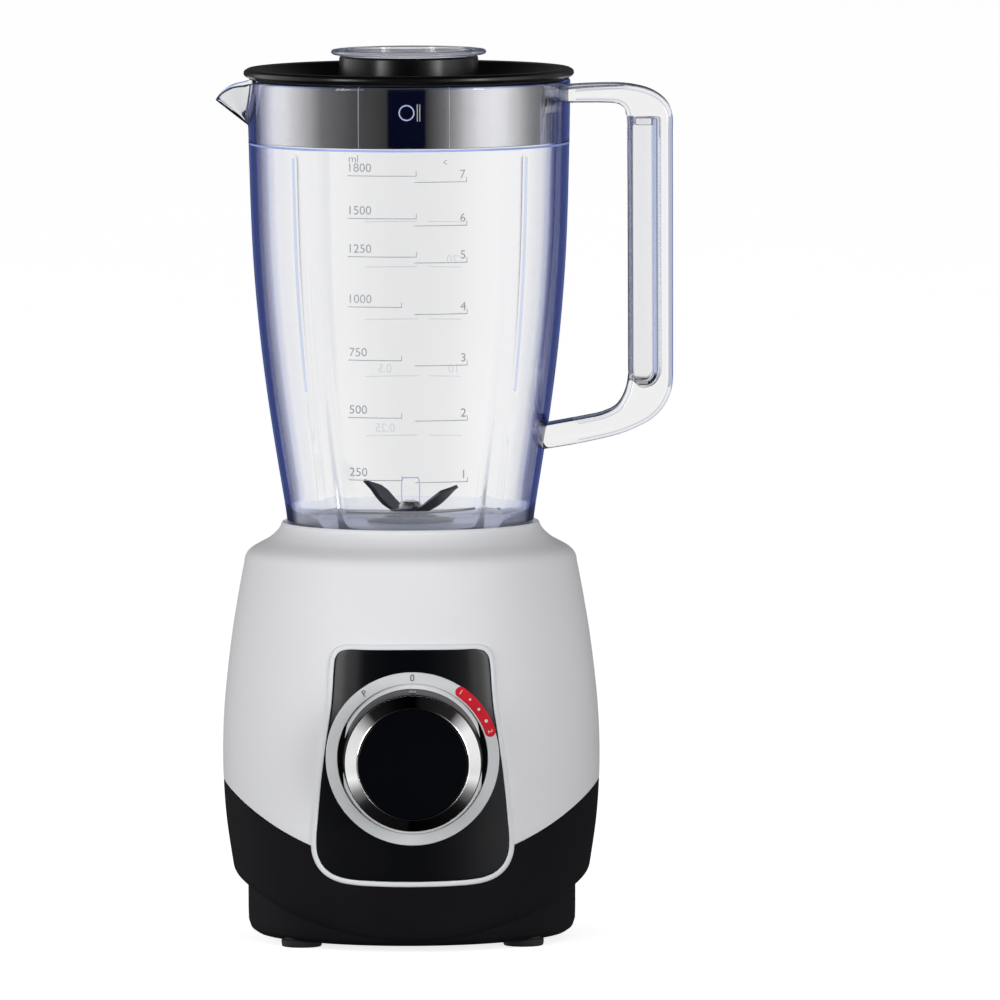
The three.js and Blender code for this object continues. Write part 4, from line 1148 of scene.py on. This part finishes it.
rear_bars = [bar(-20.0, z, 4.0, z, 0.4) for z in (217.0, 243.0, 268.0, 291.0, 311.0)] + [bar(9.0, z, 24.0, z, 0.4) for z in (217.0, 243.0, 268.0, 291.0, 311.0)]
rear_text = [("0.25", 3.9, -11.0, 220.4, 0, True), ("0.5", 3.9, -11.0, 246.4, 0, True), ("20", 3.9, 20.0, 294.4, 0, True), ("10", 3.9, 20.0, 246.4, 0, True)]
plate("jug_rear_lines", rear_bars, MARK_FAINT, -0.05, 0.05, "jug", on_jug_rear)
text_plate("jug_rear_digits", rear_text, MARK_FAINT, -0.05, 0.05, "jug", on_jug_rear)

def on_band(x, z, h):
    r = 67.0 + h
    return (x, -math.sqrt(r * r - x * x), z)


MARK_LIGHT = solid("mark_light", (0.42, 0.50, 0.78), (0.50, 0.58, 0.86), (0.3, 0.4), grain=900, bump=0.02, tone=90)
MARK_LINE = solid("mark_line", (0.50, 0.51, 0.60), (0.60, 0.61, 0.70), (0.3, 0.4), grain=900, bump=0.02, tone=90)


def annulus(cx, cz, r0, r1, n=48):
    return [[(cx + r * math.sin(2 * math.pi * j / n), cz + r * math.cos(2 * math.pi * j / n)) for j in range(n + 1)] for r in (r0, (r0 + r1) / 2, r1)]


plate("jug_lock_ring", [annulus(-1.5, 366.6, 2.95, 3.45)], MARK_LIGHT, -0.02, 0.08, "jug", on_jug)
plate("jug_lock_bar", [bar(3.2, 362.9, 3.2, 370.3, 0.28, 4), bar(4.3, 362.9, 4.3, 370.3, 0.28, 4)], MARK_LINE, -0.02, 0.08, "jug", on_jug)
plate("band_lines", [bar(-22.2, 350.9, -22.2, 377.6, 0.22, 4), bar(17.0, 350.9, 17.0, 377.6, 0.22, 4)], MARK_LINE, -0.05, 0.10, "lid", on_band)
# An opaque blue ring round the jug at its ledge: a painted glint, drawing the bright blue line that light makes along
# the clear ledge edge.
ro = float(jug_out(349.9))
ledge = fillet([(ro - 0.10, 349.45, 0.1), (ro + 0.10, 349.5, 0.08), (ro + 0.10, 350.3, 0.08), (ro - 0.10, 350.35, 0.1)], 0.08, 3, closed=True)
LEDGE_PAINTED_GLINT = solid("ledge_painted_glint", (0.30, 0.40, 0.86), (0.40, 0.50, 0.92), (0.3, 0.4), grain=900, bump=0.02, tone=90)
place(lathe("ledge_line", ledge, LEDGE_PAINTED_GLINT, 288), "jug")
# tab moulded on the rear wall
TAB = clear("clear_tab", [(0.0, rgb(0.50, 0.58, 0.92)), (1.0, rgb(0.1, 0.2, 0.8))], bump=0.0)
tab = [bar(-3.6, 186.5, -3.6, 196.4, 0.5, 4), bar(4.6, 186.5, 4.6, 196.4, 0.5, 4), bar(-3.0, 198.4, 4.0, 198.4, 0.5, 4), bar(-3.6, 196.4, -3.0, 198.4, 0.5, 2), bar(4.6, 196.4, 4.0, 198.4, 0.5, 2)]
plate("jug_rear_tab", tab, TAB, -0.1, 0.35, "jug", on_jug_rear)

# ---------------------------------------------------------------- blade unit
prof = fillet([(7.6, 165.2, 0.2), (11.0, 165.2, 0.4), (11.2, 178.2, 0.2), (19.6, 178.2, 0.4), (20.0, 180.0, 0.8), (16.5, 181.8, 1.5), (12.2, 182.4, 1.0), (10.6, 184.5, 0.5), (7.6, 184.6, 0.3)], 0.3, 5, closed=True)
place(lathe("blade_collar", prof, HUBM, 96), "jug", ["blade_housing"])
prof = fillet([(11.6, 176.85, 0.1), (19.2, 176.85, 0.3), (19.2, 177.95, 0.3), (11.6, 177.95, 0.1)], 0.2, 3, closed=True)
place(lathe("collar_gasket", prof, RUBBER, 96), "jug", ["floor_gasket"])
prof = fillet([(11.6, 166.6, 0.3), (19.0, 166.6, 0.8), (21.6, 167.2, 0.6), (21.8, 172.0, 0.4), (20.0, 172.6, 0.4), (11.6, 172.6, 0.3)], 0.3, 4, closed=True)


def grips(r, z, t):
    return r if r < 19.5 else r - 1.1 * (0.5 - 0.5 * math.cos(12 * t)) ** 3


place(lathe("collar_nut", prof, PLASTIC, 192, wobble=grips), "jug", ["housing_nut"])
prof = fillet([(0, 161.6, 0), (3.6, 161.6, 0.4), (4.0, 162.4, 0.4), (4.0, 189.2, 0.3), (2.6, 190.2, 0.3), (0, 190.2, 0)], 0.3, 4)
place(lathe("spindle", prof, STEEL2, 64), "blades", ["blade_spindle"])
prof = fillet([(4.3, 189.3, 0.1), (5.2, 189.3, 0.3), (5.3, 191.4, 0.4), (4.3, 193.2, 0.8), (2.0, 193.8, 0.8), (0, 193.9, 0), (0, 190.6, 0), (2.8, 190.6, 0.1), (4.3, 189.6, 0.1)], 0.3, 5)
place(lathe("dome_nut", prof, STEEL2, 96), "blades", ["blade_nut"])


def blade_mesh(name, z, t, hub, half_rows, tilt, turn, nodes):
    """A stamped cross blade: flat hub with a hole, two wings bent up, their edges ground to a bevel."""
    verts, faces = [], []

    def slab(top_rows, flip):
        """top_rows: rows along the wing of (s, w0, w1); the section is a flat plate with ground edges."""
        base = len(verts)
        sec_n = 8
        for s, w0, w1, rise in top_rows:
            g = min(1.1, (w1 - w0) * 0.32)
            ring = [(w0, t * 0.15), (w0 + g, t), ((w0 + w1) / 2, t), (w1 - g, t), (w1, t * 0.15), (w1 - g * 0.5, 0), ((w0 + w1) / 2, 0), (w0 + g * 0.5, 0)]
            for w, h in ring:
                ca, sa = math.cos(rise[1]), math.sin(rise[1])
                x = s - h * sa
                zz = rise[0] + h * ca
                if flip:
                    x, w = -x, -w
                verts.append((x, w, z + zz))
        faces.extend(grid_faces(len(top_rows), sec_n, False, True, base))
        faces.append(tuple(range(base, base + sec_n)))
        faces.append(tuple(range(base + (len(top_rows) - 1) * sec_n, base + len(top_rows) * sec_n)))

    a = math.radians(tilt)
    bend_s, bend_r = hub - 2.6, 3.2
    for flip in (False, True):
        rows = []
        for s, w0, w1 in half_rows:
            d = s - bend_s
            if d <= 0:
                rows.append((s, w0, w1, (0.0, 0.0)))
            else:
                arc = bend_r * a
                if d < arc:
                    q = d / bend_r
                    rows.append((bend_s + bend_r * math.sin(q), w0, w1, (bend_r * (1 - math.cos(q)), q)))
                else:
                    q = a
                    rows.append((bend_s + bend_r * math.sin(q) + (d - arc) * math.cos(q), w0, w1, (bend_r * (1 - math.cos(q)) + (d - arc) * math.sin(q), q)))
        slab(rows, flip)
    # the hub plate
    hp = fillet([(4.55, 0.0, 0.1), (hub, 0.0, 0.25), (hub, t, 0.25), (4.55, t, 0.1)], 0.2, 3, closed=True)
    hv, hf = lathe_data([(r, z + zz) for r, zz in hp], 64)
    base = len(verts)
    verts.extend(hv)
    faces.extend([tuple(base + i for i in q) for q in hf])
    c, s = math.cos(math.radians(turn)), math.sin(math.radians(turn))
    verts = [(x * c - y * s, x * s + y * c, zz) for x, y, zz in verts]
    ob = build(name, verts, faces, STEEL, 24)
    place(ob, "blades", nodes)


def wing(points, n=26):
    """points: (s, lower edge, upper edge) along the wing."""
    p = np.array(points, float)
    s = np.linspace(p[0, 0], p[-1, 0], n)
    return [(float(x), float(np.interp(x, p[:, 0], p[:, 1])), float(np.interp(x, p[:, 0], p[:, 2]))) for x in s]


blade_mesh("blade_low", 185.3, 1.5, 8.4, wing([(4.9, -3.6, 3.6), (8.0, -5.2, 5.2), (13, -6.8, 5.8), (20, -6.6, 6.0), (25, -5.0, 5.6), (29, -2.2, 5.0), (32.6, 1.2, 4.2)]), 4, 24, ["blade_lower"])
blade_mesh("blade_high", 187.6, 1.5, 8.8, wing([(4.9, -3.4, 3.4), (8.0, -4.6, 4.4), (14, -5.0, 4.8), (18, -4.8, 4.8), (22, -4.2, 4.6), (25.4, -3.4, 4.4), (30.2, 3.2, 4.2)]), 31, -49, ["blade_upper"])

# ---------------------------------------------------------------- couplings in the well
teeth = 6


def star(r, z, t):
    return r * (1 - 0.13 * (0.5 + 0.5 * math.cos(teeth * t)) ** 1.5) if 7.0 < r < 12.7 else r


prof = fillet([(4.4, 151.8, 0.2), (12.4, 151.8, 0.6), (12.4, 160.2, 0.8), (10.8, 161.0, 0.4), (4.4, 161.0, 0.3)], 0.3, 5, closed=True, step=1.5)
place(lathe("drive_star", prof, PLASTIC, 192, wobble=star), "rotor", ["drive_coupling"])


def star_in(r, z, t):
    return r * (1 - 0.10 * (0.5 + 0.5 * math.cos(teeth * t)) ** 1.5) if 12.8 < r < 13.8 else r


prof = fillet([(13.5, 152.7, 0.3), (18.2, 152.7, 0.5), (18.3, 163.4, 0.6), (16.5, 164.5, 0.6), (4.5, 164.5, 0.2), (4.5, 161.5, 0.2), (13.5, 161.5, 0.3)], 0.3, 4, closed=True, step=1.5)
place(lathe("driven_cup", prof, PLASTIC, 192, wobble=star_in), "blades", ["driven_coupling"])
prof = fillet([(4.4, 148.2, 0.2), (12.8, 148.2, 0.2), (12.8, 150.3, 0.1), (13.8, 150.3, 0.2), (13.6, 151.0, 0.3), (8.0, 151.2, 0.4), (4.4, 150.9, 0.2)], 0.3, 4, closed=True)
place(lathe("deck_seal", prof, RUBBER, 96), "base", ["shaft_seal"])

# ---------------------------------------------------------------- lid
prof = fillet([
    (63.7, 350.7, 0.4), (65.6, 350.7, 0.4), (65.6, 378.1, 0.3), (66.0, 378.95, 0.3), (71.2, 378.75, 0.9), (72.5, 379.9, 1.1), (72.3, 381.5, 1.1), (70.6, 382.55, 1.0),
    (66.4, 382.35, 1.2), (63.2, 380.2, 1.4), (59.6, 378.0, 1.2), (57.6, 376.3, 1.6), (46.0, 376.15, 0), (34.4, 376.3, 1.2), (30.9, 377.4, 1.0), (30.4, 387.3, 0.6), (29.7, 388.15, 0.4), (28.6, 388.15, 0.4),
    (28.35, 374.9, 0.3), (28.6, 373.9, 0.3), (60.6, 373.9, 2.0), (63.3, 371.0, 2.0)], 0.5, 6, closed=True, step=4.0)


def thumb(r, z, t):
    """Returns the radius unchanged: no notch in the tube and no grips at the flange."""
    return r


lid = lathe("lid_body", prof, LIDM, 240)
# The top ring of the flange takes a lighter black: a painted sheen, standing in for the highlight along the rim.
LID_PAINTED_SHEEN = solid("lid_painted_sheen", (0.026, 0.026, 0.028), (0.036, 0.036, 0.038), (0.32, 0.40), grain=2200, bump=0.08, tone=30)
lid.data.materials.append(LID_PAINTED_SHEEN)
for p in lid.data.polygons:
    px, py, pz = (p.center[0] - AX) * 1000, (p.center[1] - AY) * 1000, p.center[2] * 1000
    pr = math.hypot(px, py)
    if 65.2 < pr < 70.9 and pz > 381.9:
        p.material_index = 1
place(lid, "lid", ["lid"])
# two raised arrows in the dish, plain triangles
tri = []
for c in (-52, 52):
    a = math.radians(c)
    cx, cy = 46 * math.sin(a), -46 * math.cos(a)
    tri.append((cx, cy, c))
verts, faces = [], []
for cx, cy, c in tri:
    base = len(verts)
    pts = fillet([(-3.2, -2.2), (3.2, -2.2), (0.0, 3.0)], 0.5, 3, closed=True)
    m = len(pts)
    for zz, s in ((376.0, 1.0), (376.55, 1.0), (376.7, 0.86)):
        for x, y in pts:
            x, y = x * s, y * s
            a = math.radians(c)
            verts.append((cx + x * math.cos(a) - y * math.sin(a), cy + x * math.sin(a) + y * math.cos(a), zz))
    faces += grid_faces(3, m, False, True, base) + [tuple(range(base, base + m)), tuple(range(base + 2 * m, base + 3 * m))]
place(build("lid_marks", verts, faces, LIDM, 30), "lid")

prof = fillet([(66.15, 350.6, 0.2), (66.9, 350.6, 0.3), (66.98, 377.6, 0.3), (66.15, 377.6, 0.2)], 0.2, 3, closed=True, step=2.5)
place(lathe("bright_band", prof, BAND, 288), "lid", ["lid_band"])
prof = fillet([(66.5, 378.0, 0.2), (70.2, 378.0, 0.3), (70.2, 378.6, 0.3), (66.5, 378.6, 0.2)], 0.3, 4, closed=True)
place(lathe("lid_gasket", prof, RUBBER, 200), "lid", ["lid_seal"])

# ---------------------------------------------------------------- measuring cap
CAP_DROP = 0.75
prof = fillet([
    (26.4, 389.9, 0.8), (26.2, 388.0, 0), (24.1, 366.6, 1.5), (0, 366.3, 0), (0, 364.4, 0), (23.6, 364.5, 1.6), (25.3, 366.2, 1.2), (27.5, 387.4, 0.6), (28.6, 389.35, 0.4),
    (33.2, 389.35, 0.5), (34.1, 390.2, 0.5), (33.6, 391.35, 0.6), (31.2, 391.35, 0.3), (30.6, 390.85, 0.3), (28.4, 390.85, 0.3), (27.6, 391.35, 0.4), (26.7, 391.35, 0.5)], 0.4, 5, step=3.0)
prof = [(r, z - CAP_DROP) for r, z in prof]
cap = lathe("measuring_cup", prof, GLASS_CAP, 200)
place(cap, "cap", ["measuring_cap"])

# ---------------------------------------------------------------- cord inlet at the rear
cn = 64
prof = fillet([(3.6, 70.6, 0.2), (6.6, 70.6, 0.3), (6.6, 76.6, 0.2), (8.3, 76.9, 0.3), (8.3, 78.6, 0.6), (6.4, 79.4, 0.5), (5.6, 81.2, 0.6), (3.6, 81.2, 0.4)], 0.3, 4, closed=True)
v, f = lathe_data(prof, cn)
v = [(x, z, 24.0 + y) for x, y, z in v]
place(build("inlet_bush", v, f, RUBBER, 30), "base", ["cord_inlet"])

for ob in bpy.data.objects:
    if ob.name.split(".")[0] in ("jug_body", "grip_strip", "grip_top_block", "measuring_cup"):
        ob.visible_shadow = False

# ---------------------------------------------------------------- stage
floor_mesh = bpy.data.meshes.new("floor")
fx = [(-40.0, -0.62, 0.0), (40.0, -0.62, 0.0), (40.0, 60.0, 0.0), (-40.0, 60.0, 0.0)]
floor_mesh.from_pydata(fx, [], [(0, 1, 2, 3)])
floor = bpy.data.objects.new("floor", floor_mesh)
bpy.context.scene.collection.objects.link(floor)
fm, nt, b = new_mat("studio_floor")
fn = noise(nt, 3.0, 2.0)
fc = ramp(nt, fn, [(0.3, rgb(0.86, 0.86, 0.86)), (0.7, rgb(0.88, 0.88, 0.88))])
nt.links.new(fc.outputs["Color"], b.inputs["Base Color"])
b.inputs["Roughness"].default_value = 0.9
b.inputs["Emission Color"].default_value = (1, 1, 1, 1)
b.inputs["Emission Strength"].default_value = 0.80
floor_mesh.materials.append(fm)
floor.visible_glossy = False
floor.visible_transmission = False
floor.visible_diffuse = False
floor.visible_shadow = False

world = bpy.data.worlds.new("studio")
bpy.context.scene.world = world
world.use_nodes = True
nt = world.node_tree
bg = next(n for n in nt.nodes if n.type == "BACKGROUND")
tc = node(nt, "ShaderNodeTexCoord")
sx = node(nt, "ShaderNodeSeparateXYZ")
nt.links.new(tc.outputs["Generated"], sx.inputs["Vector"])
neg = node(nt, "ShaderNodeMath", operation="MULTIPLY")
neg.inputs[1].default_value = -1.0
nt.links.new(sx.outputs["Y"], neg.inputs[0])
at = node(nt, "ShaderNodeMath", operation="ARCTAN2")
nt.links.new(sx.outputs["X"], at.inputs[0])
nt.links.new(neg.outputs[0], at.inputs[1])
az = node(nt, "ShaderNodeMapRange")
az.inputs["From Min"].default_value = -math.pi
az.inputs["From Max"].default_value = math.pi
nt.links.new(at.outputs[0], az.inputs["Value"])


def deg(d):
    return (d + 180.0) / 360.0


def g(v):
    return (v, v, v, 1.0)


navy = (0.0042, 0.0060, 0.0230, 1.0)
azr = ramp(nt, az.outputs["Result"], [(deg(-180), g(0.06)), (deg(-156), g(0.06)), (deg(-143), g(0.12)), (deg(-137), g(0.50)), (deg(-130), g(1.55)), (deg(-121), g(1.52)), (deg(-107), g(1.34)), (deg(-93), g(0.98)), (deg(-80), g(0.62)), (deg(-69), g(0.28)), (deg(-46), g(0.120)), (deg(-29), g(0.096)), (deg(-17), g(0.065)), (deg(-15.8), navy), (deg(11.2), navy), (deg(12.6), g(0.06)), (deg(25), g(0.234)), (deg(35), g(0.52)), (deg(44), g(0.94)), (deg(54), g(1.29)), (deg(65), g(1.44)), (deg(76), g(1.30)), (deg(91), g(0.78)), (deg(98), g(0.52)), (deg(106), g(0.36)), (deg(118), g(0.28)), (deg(134), g(0.40)), (deg(142), g(0.10)), (deg(180), g(0.06))])
el = node(nt, "ShaderNodeMapRange")
el.inputs["From Min"].default_value = -1.0
el.inputs["From Max"].default_value = 1.0
nt.links.new(sx.outputs["Z"], el.inputs["Value"])


def sn(d):
    return (math.sin(math.radians(d)) + 1) / 2


elr = ramp(nt, el.outputs["Result"], [(0.0, g(0.003)), (sn(-42), g(0.010)), (sn(-31), g(0.22)), (sn(-19), g(0.90)), (sn(0), g(1.0)), (sn(26), g(0.97)), (sn(36), g(0.50)), (sn(46), g(0.020)), (1.0, g(0.004))])
mul = node(nt, "ShaderNodeMix", data_type="RGBA", blend_type="MULTIPLY")
mul.inputs["Factor"].default_value = 1.0
nt.links.new(azr.outputs["Color"], mul.inputs["A"])
nt.links.new(elr.outputs["Color"], mul.inputs["B"])
# Behind the object the studio is plain and bright at every height, so that clear parts stay bright.
back = node(nt, "ShaderNodeMapRange")
back.inputs["From Min"].default_value = 0.42
back.inputs["From Max"].default_value = 0.78
nt.links.new(sx.outputs["Y"], back.inputs["Value"])
mix2 = node(nt, "ShaderNodeMix", data_type="RGBA")
lp = node(nt, "ShaderNodeLightPath")
through = node(nt, "ShaderNodeMath", operation="MULTIPLY")
nt.links.new(back.outputs["Result"], through.inputs[0])
nt.links.new(lp.outputs["Is Transmission Ray"], through.inputs[1])
nt.links.new(through.outputs[0], mix2.inputs["Factor"])
# A white table in front gives a faint low glow.
low = ramp(nt, el.outputs["Result"], [(sn(-50), g(0.0)), (sn(-36), g(0.03)), (sn(-20), g(0.15)), (sn(-11), g(0.0))], "EASE")
addl = node(nt, "ShaderNodeMix", data_type="RGBA", blend_type="ADD")
addl.inputs["Factor"].default_value = 1.0
nt.links.new(mul.outputs["Result"], addl.inputs["A"])
nt.links.new(low.outputs["Color"], addl.inputs["B"])
nt.links.new(addl.outputs["Result"], mix2.inputs["A"])
mix2.inputs["B"].default_value = (0.95, 0.95, 0.95, 1)
mix3 = node(nt, "ShaderNodeMix", data_type="RGBA")
nt.links.new(lp.outputs["Is Camera Ray"], mix3.inputs["Factor"])
# Matt surfaces get a low even light from all round, like a white sweep.
mix4 = node(nt, "ShaderNodeMix", data_type="RGBA")
nt.links.new(lp.outputs["Is Diffuse Ray"], mix4.inputs["Factor"])
nt.links.new(mix2.outputs["Result"], mix4.inputs["A"])
mix4.inputs["B"].default_value = (0.17, 0.17, 0.176, 1)
nt.links.new(mix4.outputs["Result"], mix3.inputs["A"])
mix3.inputs["B"].default_value = (1, 1, 1, 1)
nt.links.new(mix3.outputs["Result"], bg.inputs["Color"])
bg.inputs["Strength"].default_value = 1.0


def area_light(name, az_deg, el_deg, dist, w, h, power, glossy=True, target=(0.0, 0.0, 190.0), diffuse=True):
    li = bpy.data.lights.new(name, "AREA")
    li.shape = "RECTANGLE"
    li.size, li.size_y = w, h
    li.energy = power
    ob = bpy.data.objects.new(name, li)
    bpy.context.scene.collection.objects.link(ob)
    t = Vector((AX + target[0] / 1000, AY + target[1] / 1000, target[2] / 1000))
    a, e = math.radians(az_deg), math.radians(el_deg)
    d = Vector((math.sin(a) * math.cos(e), -math.cos(a) * math.cos(e), math.sin(e)))
    ob.location = t + d * dist
    ob.rotation_euler = (-d).to_track_quat("-Z", "Y").to_euler()
    ob.visible_glossy = glossy
    ob.visible_diffuse = diffuse
    ob.visible_transmission = False
    return ob


area_light("key_left", -50, 6, 2.4, 1.0, 1.2, 29.5, glossy=False)
area_light("fill_front", 33, 1, 2.6, 0.8, 1.2, 29.0, glossy=False)
area_light("top_soft", 6, 50, 2.6, 1.4, 0.8, 6.0, glossy=False)
area_light("gloss_left", -48, 13.5, 2.5, 0.44, 1.1, 10.5, diffuse=False)
area_light("gloss_left_soft", -38, 13.5, 2.5, 0.44, 1.1, 3.2, diffuse=False)
area_light("gloss_right", 50, 13.5, 2.5, 0.36, 1.1, 9.0, diffuse=False)
area_light("gloss_right_soft", 41, 13.5, 2.5, 0.36, 1.1, 2.4, diffuse=False)

# ---------------------------------------------------------------- camera
a, e, roll, D = math.radians(0.65), math.radians(4.4), math.radians(0.2), 8.0
fwd = Vector((math.sin(a) * math.cos(e), math.cos(a) * math.cos(e), -math.sin(e)))
right = fwd.cross(Vector((0, 0, 1))).normalized()
up = right.cross(fwd).normalized()
target = Vector((AX, AY, 0.1925)) + right * 0.03933
r2 = right * math.cos(roll) - up * math.sin(roll)
u2 = up * math.cos(roll) + right * math.sin(roll)
rot = Matrix((r2, u2, -fwd)).transposed()
cam_data = bpy.data.cameras.new("camera")
cam_data.lens = 656.2
cam_data.sensor_width = 36.0
cam_data.clip_start = 0.1
cam_data.clip_end = 200.0
cam = bpy.data.objects.new("camera", cam_data)
cam.matrix_world = Matrix.Translation(target - fwd * D) @ rot.to_4x4()
bpy.context.scene.collection.objects.link(cam)
bpy.context.scene.camera = cam

sc = bpy.context.scene
sc.view_settings.view_transform = "Standard"
sc.view_settings.look = "None"
sc.cycles.max_bounces = 32
sc.cycles.transmission_bounces = 28
sc.cycles.glossy_bounces = 12
sc.cycles.transparent_max_bounces = 16
sc.cycles.caustics_refractive = True
sc.cycles.caustics_reflective = False
sc.cycles.blur_glossy = 0.2
